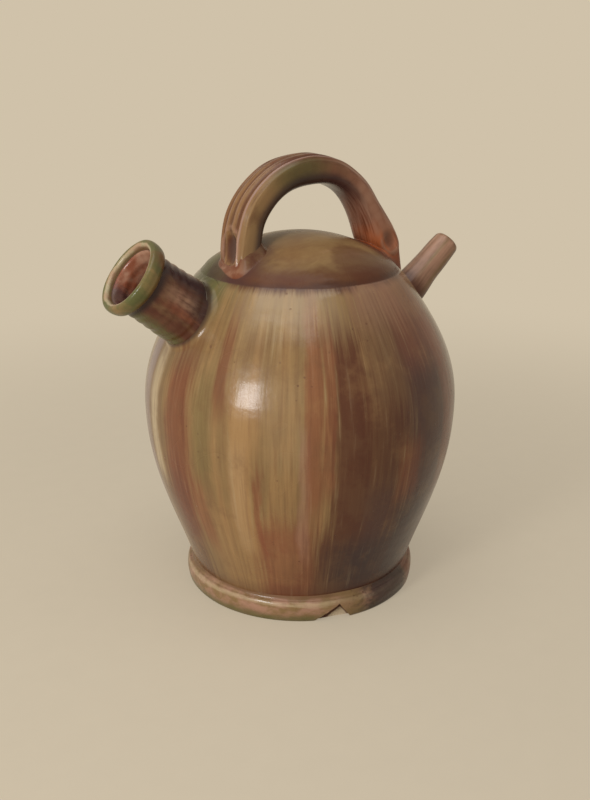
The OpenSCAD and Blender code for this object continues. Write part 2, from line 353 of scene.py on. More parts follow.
def neck_place(scene):
    """Frame of the neck."""
    return tube_place(scene.jug_body, scene.jug_tubes.neck_drop, scene.jug_tubes.neck_tilt, -1)


def spout_place(scene):
    """Frame of the spout."""
    return tube_place(scene.jug_body, scene.jug_tubes.spout_drop, scene.jug_tubes.spout_tilt, 1)


def spun(section, closed, steps=192):
    """Spins a line of radius and height points round the Z axis."""
    shape = bmesh.new()
    verts = [shape.verts.new((point[0], 0, point[1])) for point in section]
    pairs = list(zip(verts, verts[1:]))
    if closed:
        pairs.append((verts[-1], verts[0]))
    edges = [shape.edges.new(pair) for pair in pairs]
    bmesh.ops.spin(
        shape, geom=verts + edges, axis=(0, 0, 1), cent=(0, 0, 0), dvec=(0, 0, 0),
        angle=2 * math.pi, steps=steps, use_merge=True,
    )
    bmesh.ops.remove_doubles(shape, verts=shape.verts, dist=1e-6)
    bmesh.ops.recalc_face_normals(shape, faces=shape.faces)
    return shape


def wobble(shape, amount, spread):
    """Moves every point a little, as a hand would leave it."""
    for vert in shape.verts:
        vert.co += noise.noise_vector(vert.co / spread) * amount


def drawn_out(count, stations, labels, put):
    """Solid drawn out from a round face, station by station; put gives each point its place and values."""
    shape = bmesh.new()
    layers = [shape.verts.layers.float.new(label) for label in labels]
    order = shape.verts.layers.int.new("order")
    bmesh.ops.create_circle(shape, cap_ends=True, segments=count, radius=0.01)
    shape.faces.ensure_lookup_table()
    face = shape.faces[0]
    for place, vert in enumerate(face.verts):
        vert[order] = place
    for station in range(stations + 1):
        if station > 0:
            last = face
            grown = bmesh.ops.extrude_face_region(shape, geom=[last])["geom"]
            face = next(part for part in grown if isinstance(part, bmesh.types.BMFace))
            if station > 1:
                bmesh.ops.delete(shape, geom=[last], context="FACES_ONLY")
        for vert in face.verts:
            spot, values = put(station / stations, vert[order] / count)
            vert.co = spot
            for layer, value in zip(layers, values):
                vert[layer] = value
    bmesh.ops.recalc_face_normals(shape, faces=shape.faces)
    return shape


def piece_from(shape, name, node, glaze):
    """Makes a finished mesh into the piece that stands for a node."""
    mesh = bpy.data.meshes.new(name)
    shape.to_mesh(mesh)
    shape.free()
    mesh.shade_smooth()
    mesh.materials.append(glaze)
    piece = bpy.data.objects.new(name, mesh)
    bpy.context.scene.collection.objects.link(piece)
    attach(piece, "root")
    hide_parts(node)
    return piece


def tube_piece(section, place, labels, glaze, steps, sway):
    """Piece spun from a closed section about the axis of a tube; its sway has an amount and a spread."""
    shape = spun(section, closed=True, steps=steps)
    wobble(shape, *sway)
    bmesh.ops.transform(shape, matrix=place, verts=shape.verts)
    return piece_from(shape, *labels, glaze)


def soften(piece, levels):
    """Smooths a piece with a subdivision surface."""
    modifier = piece.modifiers.new("smooth", "SUBSURF")
    modifier.levels = levels
    modifier.render_levels = levels


def sharpen(piece, degrees):
    """Keeps the edges sharp that turn by more than an angle."""
    piece.data.set_sharp_from_angle(angle=math.radians(degrees))


def bore_cutter(place, radius):
    """Round bar that pierces the wall along a tube, turned so that its edges miss those of the wall."""
    bar = bmesh.new()
    bmesh.ops.create_cone(
        bar, cap_ends=True, cap_tris=False, segments=96, radius1=radius, radius2=radius, depth=0.05
    )
    turned = place @ Matrix.Rotation(math.radians(1.3), 4, "Z")
    bmesh.ops.transform(bar, matrix=turned, verts=bar.verts)
    return bar


def cut_away(piece, cutter_shape):
    """Cuts the form of another mesh out of a piece, for good."""
    cutter_mesh = bpy.data.meshes.new("cutter")
    cutter_shape.to_mesh(cutter_mesh)
    cutter_shape.free()
    cutter = bpy.data.objects.new("cutter", cutter_mesh)
    bpy.context.scene.collection.objects.link(cutter)
    modifier = piece.modifiers.new("cut", "BOOLEAN")
    modifier.operation = "DIFFERENCE"
    modifier.solver = "EXACT"
    modifier.object = cutter
    view = bpy.context.evaluated_depsgraph_get()
    result = bpy.data.meshes.new_from_object(piece.evaluated_get(view))
    piece.modifiers.remove(modifier)
    whole = piece.data
    piece.data = result
    bpy.data.meshes.remove(whole)
    bpy.data.objects.remove(cutter)
    bpy.data.meshes.remove(cutter_mesh)


def strap_line(handle, along):
    """Middle of the strap and its outward way, from the rear foot to the front foot."""
    arch = math.pi - handle.rear_lean + handle.front_tuck
    gone = along * (handle.rear_leg + handle.arch_radius * arch)
    height = handle.arch_top - handle.strap_thickness / 2 - handle.arch_radius
    centre = Vector((handle.arch_back, 0, height))
    if gone < handle.rear_leg:
        out = Vector((math.cos(handle.rear_lean), 0, math.sin(handle.rear_lean)))
        down = Vector((math.sin(handle.rear_lean), 0, -math.cos(handle.rear_lean)))
        return centre + out * handle.arch_radius + down * (handle.rear_leg - gone), out
    angle = handle.rear_lean + (gone - handle.rear_leg) / handle.arch_radius
    out = Vector((math.cos(angle), 0, math.sin(angle)))
    return centre + out * handle.arch_radius, out


def front_press(along, across):
    """Thumb press in the outer face of the front foot, and the lip round it, each from 0 to 1."""
    off = math.hypot((along - 0.906) / 0.036, (across - 0.08) / 0.52)
    return math.exp(-(off**4)), bell(off - 1.3, 0.22)


def rear_press(along, across, thick):
    """Thumb press in the near side of the rear foot, and the lip below it, each from 0 to 1."""
    down = (0.085 - along) / 0.034
    inward = (0.15 - thick) / 0.45
    off = math.hypot(down, inward)
    near_side = ease(across, 0.45, 0.75)
    lip = bell(off - 1.3, 0.24) * ease(down + inward, -0.4, 0.9)
    return math.exp(-(off**4)) * near_side, lip * near_side


def strap_point(handle, along, round_share, relief):
    """Point of the strap's skin, and its place along and across, its rib, its press and its inner face."""
    middle, out = strap_line(handle, along)
    angle = 2 * math.pi * round_share
    across = math.copysign(abs(math.cos(angle)) ** STRAP_ROUNDNESS, math.cos(angle))
    thick = math.copysign(abs(math.sin(angle)) ** STRAP_ROUNDNESS, math.sin(angle))
    half = handle.strap_thickness / 2
    outer = half + handle.rear_swell * bell(along - 0.09, 0.1)
    outer -= handle.foot_taper * (1 - ease(along, 0.0, 0.06))
    inner = half + handle.crown_swell * ease(along, 0.3, 0.55)
    inner += handle.rear_fill * (1 - ease(along, 0.04, 0.24))
    width = handle.strap_width / 2 * (1 - 0.05 * bell(along - 0.28, 0.12))
    rib = PLAIN_RIB
    depth = inner * thick
    pit = 0.0
    lip = 0.0
    if thick > 0:
        crest = 0.5 - 0.5 * math.cos(math.pi * handle.rib_count * (across + 1))
        ribbed = 0.4 + 0.6 * ease(along, 0.15, 0.45)
        ribbed *= ease(thick, 0.45, 0.9) * (1 - ease(along, 0.95, 0.98))
        pit, lip = (relief * value for value in front_press(along, across))
        depth = outer * thick - handle.groove_depth * relief * ribbed * (1 - crest) * (1 - pit)
        depth -= handle.press_depth * (pit - 0.18 * lip)
        rib += (crest - PLAIN_RIB) * ribbed * (1 - pit)
    rear, rear_lip = (relief * value for value in rear_press(along, across, thick))
    side = handle.press_depth * (0.55 * rear - 0.12 * rear_lip) - across * width
    spot = middle + out * depth + Vector((0, side, 0))
    spot += FRONT_BEND * ease(along, 0.82, 0.97)
    spot += noise.noise_vector(spot / STRAP_SWAY_SPREAD) * STRAP_SWAY
    pressed = max(pit, 0.45 * rear) - 0.6 * lip - 0.7 * rear_lip
    return spot, (along, across, rib, pressed, max(-thick, 0.0))


# Nodes of the glazes


def feed(tree, value, socket):
    """Links a socket, or sets a plain value."""
    if isinstance(value, bpy.types.NodeSocket):
        tree.links.new(value, socket)
    else:
        socket.default_value = value


def calc(tree, operation, first, second=0.0, third=0.0):
    """Result of one step of arithmetic."""
    node = tree.nodes.new("ShaderNodeMath")
    node.operation = operation
    for value, socket in zip((first, second, third), node.inputs):
        feed(tree, value, socket)
    return node.outputs["Value"]


def plus(tree, first, second):
    """Sum of two values."""
    return calc(tree, "ADD", first, second)


def minus(tree, first, second):
    """Difference of two values."""
    return calc(tree, "SUBTRACT", first, second)


def times(tree, first, second):
    """Product of two values."""
    return calc(tree, "MULTIPLY", first, second)


def span(tree, x, y):
    """Distance that is made up of two parts at right angles."""
    return calc(tree, "SQRT", plus(tree, times(tree, x, x), times(tree, y, y)))


def fade(tree, value, start, end):
    """Smooth step from 0 at the start to 1 at the end, whichever is the higher; both may be sockets."""
    node = tree.nodes.new("ShaderNodeMapRange")
    node.interpolation_type = "SMOOTHSTEP"
    feed(tree, value, node.inputs["Value"])
    feed(tree, start, node.inputs["From Min"])
    feed(tree, end, node.inputs["From Max"])
    return node.outputs["Result"]


def blend(tree, factor, first, second):
    """Two colours mixed by a factor."""
    node = tree.nodes.new("ShaderNodeMix")
    node.data_type = "RGBA"
    # The colour sockets go by number, because sockets of other kinds have the same names
    feed(tree, factor, node.inputs["Factor"])
    for value, socket in ((first, node.inputs[6]), (second, node.inputs[7])):
        feed(tree, value if isinstance(value, bpy.types.NodeSocket) else (*value, 1), socket)
    return node.outputs[2]


def stain(tree, base, mask, strength, tint):
    """A base colour stained with a tint where a mask is, at a strength."""
    return blend(tree, times(tree, mask, strength), base, tint)


def grain(tree, vector, scale, detail=2.0, rough=0.5):
    """Cloudy noise from 0 to 1."""
    node = tree.nodes.new("ShaderNodeTexNoise")
    feed(tree, vector, node.inputs["Vector"])
    node.inputs["Scale"].default_value = scale
    node.inputs["Detail"].default_value = detail
    node.inputs["Roughness"].default_value = rough
    return node.outputs["Fac"]


def attribute(tree, name):
    """Value carried by the points of a piece."""
    node = tree.nodes.new("ShaderNodeAttribute")
    node.attribute_name = name
    return node.outputs["Fac"]


def parts_of(tree, vector):
    """X, Y and Z of a vector."""
    node = tree.nodes.new("ShaderNodeSeparateXYZ")
    feed(tree, vector, node.inputs["Vector"])
    return node.outputs["X"], node.outputs["Y"], node.outputs["Z"]


def vector_of(tree, first, second, third):
    """Vector from three values."""
    node = tree.nodes.new("ShaderNodeCombineXYZ")
    for value, socket in zip((first, second, third), node.inputs):
        feed(tree, value, socket)
    return node.outputs["Vector"]


def reach_of(tree, spot):
    """Distance of a point from its piece's own axis."""
    x, y, _z = parts_of(tree, spot)
    return span(tree, x, y)


def new_group(name, inputs, outputs):
    """Empty node group and its end nodes; an input without a default is a vector, all else is a value."""
    group = bpy.data.node_groups.new(name, "ShaderNodeTree")
    for label, default in inputs.items():
        kind = "NodeSocketVector" if default is None else "NodeSocketFloat"
        socket = group.interface.new_socket(label, in_out="INPUT", socket_type=kind)
        if default is not None:
            socket.default_value = default
    for label in outputs:
        group.interface.new_socket(label, in_out="OUTPUT", socket_type="NodeSocketFloat")
    return group, group.nodes.new("NodeGroupInput").outputs, group.nodes.new("NodeGroupOutput").inputs


def placed(tree, name, values):
    """A node group placed in a material with its own values."""
    node = tree.nodes.new("ShaderNodeGroup")
    node.node_tree = bpy.data.node_groups[name]
    for label, value in values.items():
        feed(tree, value, node.inputs[label])
    return node.outputs


def make_turned_group():
    """Bearing, height and run-down streaks of a turned piece, from its place about its own axis."""
    tree, given, found = new_group(
        "turned_streaks",
        {"Place": None, "Runs": 11.0, "Lines": 42.0, "Stretch": 11.0},
        ("Bearing", "Height", "Run", "Line", "Wander"),
    )
    x, y, z = parts_of(tree, given["Place"])
    reach = calc(tree, "MAXIMUM", span(tree, x, y), 0.001)
    side_x = calc(tree, "DIVIDE", x, reach)
    side_y = calc(tree, "DIVIDE", y, reach)
    drop = times(tree, z, given["Stretch"])

    def streaks(turns, fall, detail, rough):
        around = (times(tree, side_x, turns), times(tree, side_y, turns))
        return grain(tree, vector_of(tree, *around, times(tree, drop, fall)), 1.0, detail, rough)

    tree.links.new(calc(tree, "ARCTAN2", y, x), found["Bearing"])
    tree.links.new(z, found["Height"])
    tree.links.new(streaks(given["Runs"], 1.0, 3.0, 0.55), found["Run"])
    tree.links.new(streaks(given["Lines"], 2.2, 3.0, 0.6), found["Line"])
    tree.links.new(minus(tree, streaks(3.0, 1.6, 4.0, 0.6), 0.5), found["Wander"])


def make_run_group():
    """Mask of one run of glaze down a turned piece, ragged at its edges and ends."""
    tree, given, found = new_group(
        "glaze_run",
        {
            "Bearing": 0.0, "Height": 0.0, "Line": 0.5, "Wander": 0.0, "Middle": 0.0,
            "Half Width": 0.1, "Low": 0.0, "High": 0.1, "Tail": 0.02, "Strength": 1.0,
        },
        ("Mask",),
    )
    half_width = given["Half Width"]
    tail = given["Tail"]
    swung = plus(tree, minus(tree, given["Bearing"], given["Middle"]), times(tree, given["Wander"], 0.14))
    away = calc(tree, "ABSOLUTE", calc(tree, "WRAP", swung, math.pi, -math.pi))
    fray = minus(tree, given["Line"], 0.5)
    ragged = plus(tree, away, times(tree, fray, times(tree, half_width, 1.1)))
    side = fade(tree, ragged, times(tree, half_width, 1.35), times(tree, half_width, 0.45))
    level = plus(tree, given["Height"], times(tree, fray, times(tree, tail, 2.0)))
    above = fade(tree, level, minus(tree, given["Low"], tail), plus(tree, given["Low"], tail))
    below = fade(tree, level, plus(tree, given["High"], tail), minus(tree, given["High"], tail))
    mask = times(tree, side, times(tree, above, below))
    tree.links.new(times(tree, mask, given["Strength"]), found["Mask"])


def make_skin_group():
    """Roughness and relief of the fired glaze: throwing rings, soft ripple and pin holes."""
    tree, given, found = new_group(
        "glaze_skin",
        {"Place": None, "Level": 0.0, "Line": 0.5, "Ring Pitch": 0.007, "Ring Depth": 0.3, "Gloss": 0.24},
        ("Roughness", "Relief", "Speck"),
    )
    drift = grain(tree, given["Place"], 22.0)
    turns = plus(tree, calc(tree, "DIVIDE", given["Level"], given["Ring Pitch"]), times(tree, drift, 2.2))
    ring = calc(tree, "SINE", times(tree, turns, 2 * math.pi))
    ripple = grain(tree, given["Place"], 160.0, 3.0)
    pores = tree.nodes.new("ShaderNodeTexVoronoi")
    feed(tree, given["Place"], pores.inputs["Vector"])
    pores.inputs["Scale"].default_value = 190.0
    porous = fade(tree, grain(tree, given["Place"], 45.0), 0.56, 0.66)
    hole = times(tree, calc(tree, "LESS_THAN", pores.outputs["Distance"], 0.13), porous)
    relief = plus(tree, times(tree, ring, given["Ring Depth"]), times(tree, ripple, 0.5))
    relief = plus(tree, relief, times(tree, given["Line"], 0.22))
    relief = minus(tree, relief, times(tree, hole, 0.9))
    dull = plus(tree, times(tree, fade(tree, drift, 0.35, 0.7), 0.12), times(tree, hole, 0.3))
    tree.links.new(plus(tree, given["Gloss"], dull), found["Roughness"])
    tree.links.new(relief, found["Relief"])
    tree.links.new(hole, found["Speck"])


def glaze_sheet(name, place=None):
    """New material with its shader, and the place of a point in the piece's own frame."""
    material = bpy.data.materials.new(name)
    material.use_nodes = True
    tree = material.node_tree
    shader = tree.nodes["Principled BSDF"]
    shader.inputs["Specular IOR Level"].default_value = 0.3
    shader.inputs["Coat Weight"].default_value = 0.08
    shader.inputs["Coat Roughness"].default_value = 0.08
    spot = tree.nodes.new("ShaderNodeTexCoord").outputs["Object"]
    if place is not None:
        mapping = tree.nodes.new("ShaderNodeMapping")
        back = place.inverted()
        mapping.inputs["Location"].default_value = back.to_translation()
        mapping.inputs["Rotation"].default_value = back.to_euler()
        tree.links.new(spot, mapping.inputs["Vector"])
        spot = mapping.outputs["Vector"]
    return material, tree, shader, spot


def finish_glaze(tree, shader, base, skin, depth=0.0006):
    """Links colour, roughness and relief of a depth to the shader."""
    bump = tree.nodes.new("ShaderNodeBump")
    bump.inputs["Strength"].default_value = 0.6
    bump.inputs["Distance"].default_value = depth
    tree.links.new(skin["Relief"], bump.inputs["Height"])
    tree.links.new(bump.outputs["Normal"], shader.inputs["Normal"])
    tree.links.new(skin["Roughness"], shader.inputs["Roughness"])
    tree.links.new(base, shader.inputs["Base Color"])


def turned_skin(tree, spot, streaks, pitch, depth, gloss):
    """Skin of a turned piece, with throwing rings of a pitch and a depth."""
    return placed(tree, "glaze_skin", {
        "Place": spot, "Level": streaks["Height"], "Line": streaks["Line"],
        "Ring Pitch": pitch, "Ring Depth": depth, "Gloss": gloss,
    })


def lay_runs(tree, base, streaks, glazes, runs):
    """Lays runs of glaze over a base colour.

    Each run is a colour, a bearing and a half width in degrees, a low and a high end and a strength.
    """
    tail_share = 0.14
    least_tail = 0.012
    for paint_name, bearing, half_width, low, high, strength in runs:
        values = {label: streaks[label] for label in ("Bearing", "Height", "Line", "Wander")}
        values["Middle"] = math.radians(bearing)
        values["Half Width"] = math.radians(half_width)
        values["Low"] = low
        values["High"] = high
        values["Tail"] = max(tail_share * (high - low), least_tail)
        values["Strength"] = strength
        mask = placed(tree, "glaze_run", values)["Mask"]
        base = blend(tree, mask, base, getattr(glazes, paint_name))
    return base


def body_glaze(glazes, name, on_joint):
    """Streaked glaze of the body, which also runs over the joints, dark beside a tube: pooled glaze and
    painted shade.
    """
    material, tree, shader, spot = glaze_sheet(name)
    streaks = placed(tree, "turned_streaks", {"Place": spot})
    run = streaks["Run"]
    line = streaks["Line"]
    base = stain(tree, glazes.olive, fade(tree, run, 0.45, 0.7), 0.55, glazes.ochre)
    base = stain(tree, base, fade(tree, run, 0.46, 0.3), 0.45, glazes.umber)
    # Broad runs
    base = lay_runs(tree, base, streaks, glazes, [
        # The purple-brown and plum runs at -64 and -74 are dark glaze and also painted shade on the side
        # turned from the window
        ("purple_brown", -64, 24, 0.0, 0.2, 0.95),
        ("plum", -74, 12, 0.0, 0.085, 0.75),
        ("red_brown", -62, 20, 0.17, 0.23, 0.55),
        ("dark_brown", -92, 12, 0.0, 0.17, 0.8),
        ("umber", -90, 10, 0.15, 0.218, 0.75),
        ("dark_brown", -28, 16, 0.0, 0.19, 0.8),
        ("umber", -20, 9, 0.12, 0.222, 0.7),
        ("red_brown", 6, 13, 0.03, 0.215, 0.7),
        ("umber", 24, 8, 0.0, 0.14, 0.6),
        ("dark_brown", 50, 13, 0.0, 0.16, 0.75),
        ("red_brown", 58, 8, 0.12, 0.222, 0.65),
        ("ochre", 78, 12, 0.0, 0.12, 0.55),
        ("moss", 92, 9, 0.06, 0.205, 0.4),
        ("red_brown", 116, 11, 0.0, 0.17, 0.65),
        ("umber", 128, 8, 0.12, 0.22, 0.55),
        ("red_brown", -127, 14, 0.0, 0.078, 0.72),
        ("ochre", -150, 11, 0.0, 0.085, 0.5),
        ("dark_brown", -177, 10, 0.0, 0.09, 0.6),
    ])
    # Narrow runs over them, and thick dark glaze toward the base, also painted shade low on the side
    # turned from the window
    base = lay_runs(tree, base, streaks, glazes, [
        ("purple_brown", -93, 8, 0.03, 0.1, 0.65),
        # Painted reflection: the lavender and cream runs at 165 and 176 lie along the left edge of the
        # body
        ("lavender", 165, 6, 0.05, 0.2, 0.55),
        ("cream", 176, 3.6, 0.09, 0.18, 0.65),
        ("red_brown", -169, 6.4, 0.06, 0.176, 0.75),
        ("dark_brown", -168, 4.5, 0.06, 0.18, 0.32),
        ("red_brown", -160, 3, 0.05, 0.1, 0.55),
        ("moss", -157, 4, 0.1, 0.17, 0.3),
        ("red_brown", -150.5, 2.7, 0.148, 0.2, 0.5),
        ("dark_brown", -150.5, 2.3, 0.15, 0.196, 0.34),
        # The cream and ochre runs at -143 and -142, beside the window's reflection, are pale glaze and
        # also painted highlight
        ("cream", -143, 3.4, 0.06, 0.13, 0.5),
        ("ochre", -142, 5, 0.055, 0.165, 0.8),
        ("red_brown", -135.5, 1.4, 0.045, 0.11, 0.6),
        ("cream", -126, 8, 0.12, 0.172, 0.08),
        ("tan_pink", -120, 2.4, 0.05, 0.14, 0.45),
        ("red_brown", -116.5, 3.4, 0.085, 0.213, 0.65),
        ("dark_brown", -104, 6.6, 0.055, 0.196, 0.92),
        ("red_brown", -111, 2.2, 0.1, 0.2, 0.55),
        ("orange", -80, 6, 0.088, 0.126, 0.22),
        ("red_brown", -54, 7, 0.08, 0.2, 0.65),
        ("dark_brown", -16, 3, 0.05, 0.2, 0.6),
        ("ochre", -8, 3, 0.06, 0.18, 0.6),
        ("orange", 14, 3.5, 0.06, 0.13, 0.3),
        ("olive", 30, 5, 0.05, 0.2, 0.7),
        ("red_brown", 40, 2.5, 0.09, 0.2, 0.6),
        ("dark_brown", 65, 2, 0.03, 0.11, 0.6),
        ("ochre", 71, 3.5, 0.08, 0.18, 0.6),
        ("cream", 84, 2.5, 0.1, 0.18, 0.3),
        ("dark_brown", 102, 2.5, 0.05, 0.2, 0.6),
        ("tan_pink", 110, 3, 0.08, 0.19, 0.4),
        ("ochre", 138, 6, 0.06, 0.18, 0.7),
        ("dark_brown", 152, 3, 0.07, 0.19, 0.6),
        ("dark_brown", -110, 7, 0.0, 0.068, 0.7),
        ("dark_brown", -125, 7, 0.0, 0.045, 0.3),
        # Plum low at -95: dark glaze and also painted shade
        ("plum", -95, 16, 0.0, 0.06, 0.8),
        ("red_brown", -172, 7, 0.05, 0.108, 0.5),
        ("dark_brown", -172, 6, 0.05, 0.105, 0.45),
    ])
    # Clouds and fine lines
    cloud = grain(tree, spot, 24.0, 5.0, 0.65)
    base = stain(tree, base, fade(tree, cloud, 0.5, 0.36), 0.34, glazes.umber)
    base = stain(tree, base, fade(tree, cloud, 0.53, 0.68), 0.22, glazes.ochre)
    base = stain(tree, base, fade(tree, line, 0.6, 0.28), 0.28, glazes.dark_brown)
    base = stain(tree, base, fade(tree, line, 0.58, 0.8), 0.13, glazes.cream)
    # Pale shoulder, and a dark seam: pooled glaze and painted shade
    base = lay_runs(tree, base, streaks, glazes, [("cream", -126, 24, 0.196, 0.22, 0.24)])
    ragged = plus(tree, times(tree, streaks["Wander"], 0.016), times(tree, line, 0.006))
    seam = plus(tree, streaks["Height"], ragged)
    base = stain(tree, base, fade(tree, seam, 0.2165, 0.2215), 0.8, glazes.dark_brown)
    base = stain(tree, base, fade(tree, seam, 0.2192, 0.2235), 0.6, glazes.plum)
    base = lay_runs(tree, base, streaks, glazes, [
        ("tan_pink", -80, 18, 0.198, 0.25, 0.4),
        ("moss", 172, 26, 0.2, 0.24, 0.85),
    ])
    # Dark edge over the foot ring, pin holes, and on the coils plum beside the tube: pooled glaze and
    # painted shade
    foot = fade(tree, streaks["Height"], 0.03, 0.015)
    base = stain(tree, base, foot, 0.45, glazes.dark_brown)
    skin = turned_skin(tree, spot, streaks, pitch=0.0085, depth=0.04, gloss=0.17)
    base = stain(tree, base, skin["Speck"], 0.5, glazes.dark_brown)
    if on_joint:
        shader.inputs["Specular IOR Level"].default_value = 0.18
        # Plum beside the tube: pooled glaze and painted shade
        pooled = fade(tree, attribute(tree, "spread"), 0.35, 0.0)
        base = stain(tree, base, pooled, 0.75, glazes.plum)
    finish_glaze(tree, shader, base, skin)
    return material


def ragged_spot(tree, x, y, cloud, middle, reach):
    """Mask of a ragged spot on the dome, about a middle."""
    away = span(tree, minus(tree, x, middle[0]), minus(tree, y, middle[1]))
    ragged = plus(tree, away, times(tree, minus(tree, cloud, 0.5), 0.03))
    return fade(tree, ragged, reach * 1.2, reach * 0.75)


def dome_glaze(glazes):
    """Brown glaze of the dome, olive on its front, with pooled glaze and painted shade along the seam and
    beside the handle's feet, and painted shade on its spout side.
    """
    material, tree, shader, spot = glaze_sheet("dome_glaze")
    shader.inputs["Specular IOR Level"].default_value = 0.12
    shader.inputs["Coat Weight"].default_value = 0.03
    x, y, z = parts_of(tree, spot)
    cloud = grain(tree, spot, 26.0, 4.0, 0.6)
    brushed = grain(tree, vector_of(tree, times(tree, x, 30.0), times(tree, y, 90.0), z), 1.0, 4.0, 0.6)
    base = blend(tree, fade(tree, cloud, 0.32, 0.6), glazes.umber, glazes.olive)
    base = stain(tree, base, fade(tree, brushed, 0.55, 0.36), 0.36, glazes.dark_brown)
    base = stain(tree, base, fade(tree, brushed, 0.55, 0.75), 0.25, glazes.tan_pink)
    back = fade(tree, plus(tree, y, times(tree, cloud, 0.04)), 0.03, 0.06)
    base = stain(tree, base, times(tree, back, fade(tree, brushed, 0.3, 0.62)), 0.7, glazes.red_brown)
    base = stain(tree, base, fade(tree, z, 0.227, 0.234), 0.3, glazes.ochre)
    # Painted shade: dark brown on the spout side, where the rear leg casts its shadow
    right = fade(tree, plus(tree, x, times(tree, cloud, 0.03)), 0.045, 0.066)
    base = stain(tree, base, right, 0.5, glazes.dark_brown)
    # Dark brown and plum toward the seam: pooled glaze and painted shade
    low = minus(tree, z, times(tree, cloud, 0.018))
    base = stain(tree, base, fade(tree, low, 0.2205, 0.2135), 0.8, glazes.dark_brown)
    base = stain(tree, base, fade(tree, low, 0.2125, 0.208), 0.5, glazes.plum)
    patch = ragged_spot(tree, x, y, cloud, (0.014, -0.05), 0.019)
    base = stain(tree, base, patch, 0.5, glazes.dark_brown)
    left = fade(tree, minus(tree, times(tree, cloud, 0.024), x), 0.05, 0.064)
    left = times(tree, left, fade(tree, plus(tree, y, times(tree, cloud, 0.012)), -0.012, 0.002))
    base = stain(tree, base, left, 0.8, glazes.moss)
    # Purple-brown spots beside the two feet of the handle: pooled glaze and painted shade
    for middle, reach, strength in (((-0.047, -0.009), 0.024, 0.6), ((0.057, -0.008), 0.031, 0.65)):
        pooled = ragged_spot(tree, x, y, cloud, middle, reach)
        base = stain(tree, base, pooled, strength, glazes.purple_brown)
    skin = placed(tree, "glaze_skin", {
        "Place": spot, "Level": z, "Line": brushed, "Ring Pitch": 0.004, "Ring Depth": 0.08, "Gloss": 0.24,
    })
    finish_glaze(tree, shader, base, skin)
    return material


def foot_glaze(glazes):
    """Thin glaze on the foot ring over pink clay, with a painted highlight along its top edge and olive
    toward the ground.
    """
    material, tree, shader, spot = glaze_sheet("foot_glaze")
    streaks = placed(tree, "turned_streaks", {"Place": spot, "Runs": 7.0, "Lines": 16.0, "Stretch": 150.0})
    base = blend(tree, fade(tree, streaks["Run"], 0.35, 0.65), glazes.tan_pink, glazes.olive)
    level = plus(tree, streaks["Height"], times(tree, streaks["Wander"], 0.008))
    low = fade(tree, level, 0.0075, 0.001)
    base = stain(tree, base, low, 0.75, glazes.moss)
    # Painted highlight: cream along the top edge of the ring
    edge = times(tree, fade(tree, level, 0.0098, 0.012), fade(tree, level, 0.0142, 0.0125))
    base = stain(tree, base, edge, 0.4, glazes.cream)
    base = stain(tree, base, fade(tree, level, 0.0138, 0.0165), 0.8, glazes.umber)
    base = stain(tree, base, fade(tree, streaks["Line"], 0.55, 0.3), 0.22, glazes.umber)
    base = lay_runs(tree, base, streaks, glazes, [
        ("olive", -97, 8, -0.02, 0.03, 0.7),
        # Plum at -70: dark glaze and also painted shade on the side turned from the window
        ("plum", -70, 20, -0.02, 0.03, 0.85),
        ("red_brown", -50, 6, -0.02, 0.03, 0.75),
        ("red_brown", -28, 14, -0.02, 0.03, 0.7),
        ("dark_brown", 20, 26, -0.02, 0.03, 0.7),
        ("red_brown", 95, 20, -0.02, 0.03, 0.6),
    ])
    skin = turned_skin(tree, spot, streaks, pitch=0.005, depth=0.15, gloss=0.24)
    base = stain(tree, base, skin["Speck"], 0.6, glazes.dark_brown)
    finish_glaze(tree, shader, base, skin)
    return material


def broken_clay(glazes, body):
    """Raw broken clay in the chip, pale at its back, with painted shade under its two edges."""
    place = Matrix.Rotation(body.chip_bearing, 4, "Z")
    material, tree, shader, spot = glaze_sheet("broken_clay", place)
    shader.inputs["Coat Weight"].default_value = 0.0
    cloud = grain(tree, spot, 260.0, 4.0, 0.65)
    base = stain(tree, glazes.raw_clay, fade(tree, cloud, 0.45, 0.75), 0.5, glazes.tan_pink)
    _out, beside, level = parts_of(tree, spot)
    slope = body.chip_height / body.chip_width
    long_edge = calc(tree, "MULTIPLY_ADD", beside, 1.5 * slope, body.chip_height)
    short_edge = calc(tree, "MULTIPLY_ADD", beside, -3 * slope, body.chip_height)
    # Painted shade under the long and the short edge of the chip
    under_long = fade(tree, minus(tree, long_edge, level), 0.0058, 0.0074)
    under_short = fade(tree, minus(tree, short_edge, level), 0.0006, 0.0024)
    shaded = minus(tree, 1.0, times(tree, under_long, under_short))
    base = stain(tree, base, shaded, 0.95, glazes.dark_brown)
    skin = placed(tree, "glaze_skin", {"Place": spot, "Line": cloud, "Ring Depth": 0.0, "Gloss": 0.6})
    finish_glaze(tree, shader, base, skin, depth=0.0012)
    return material


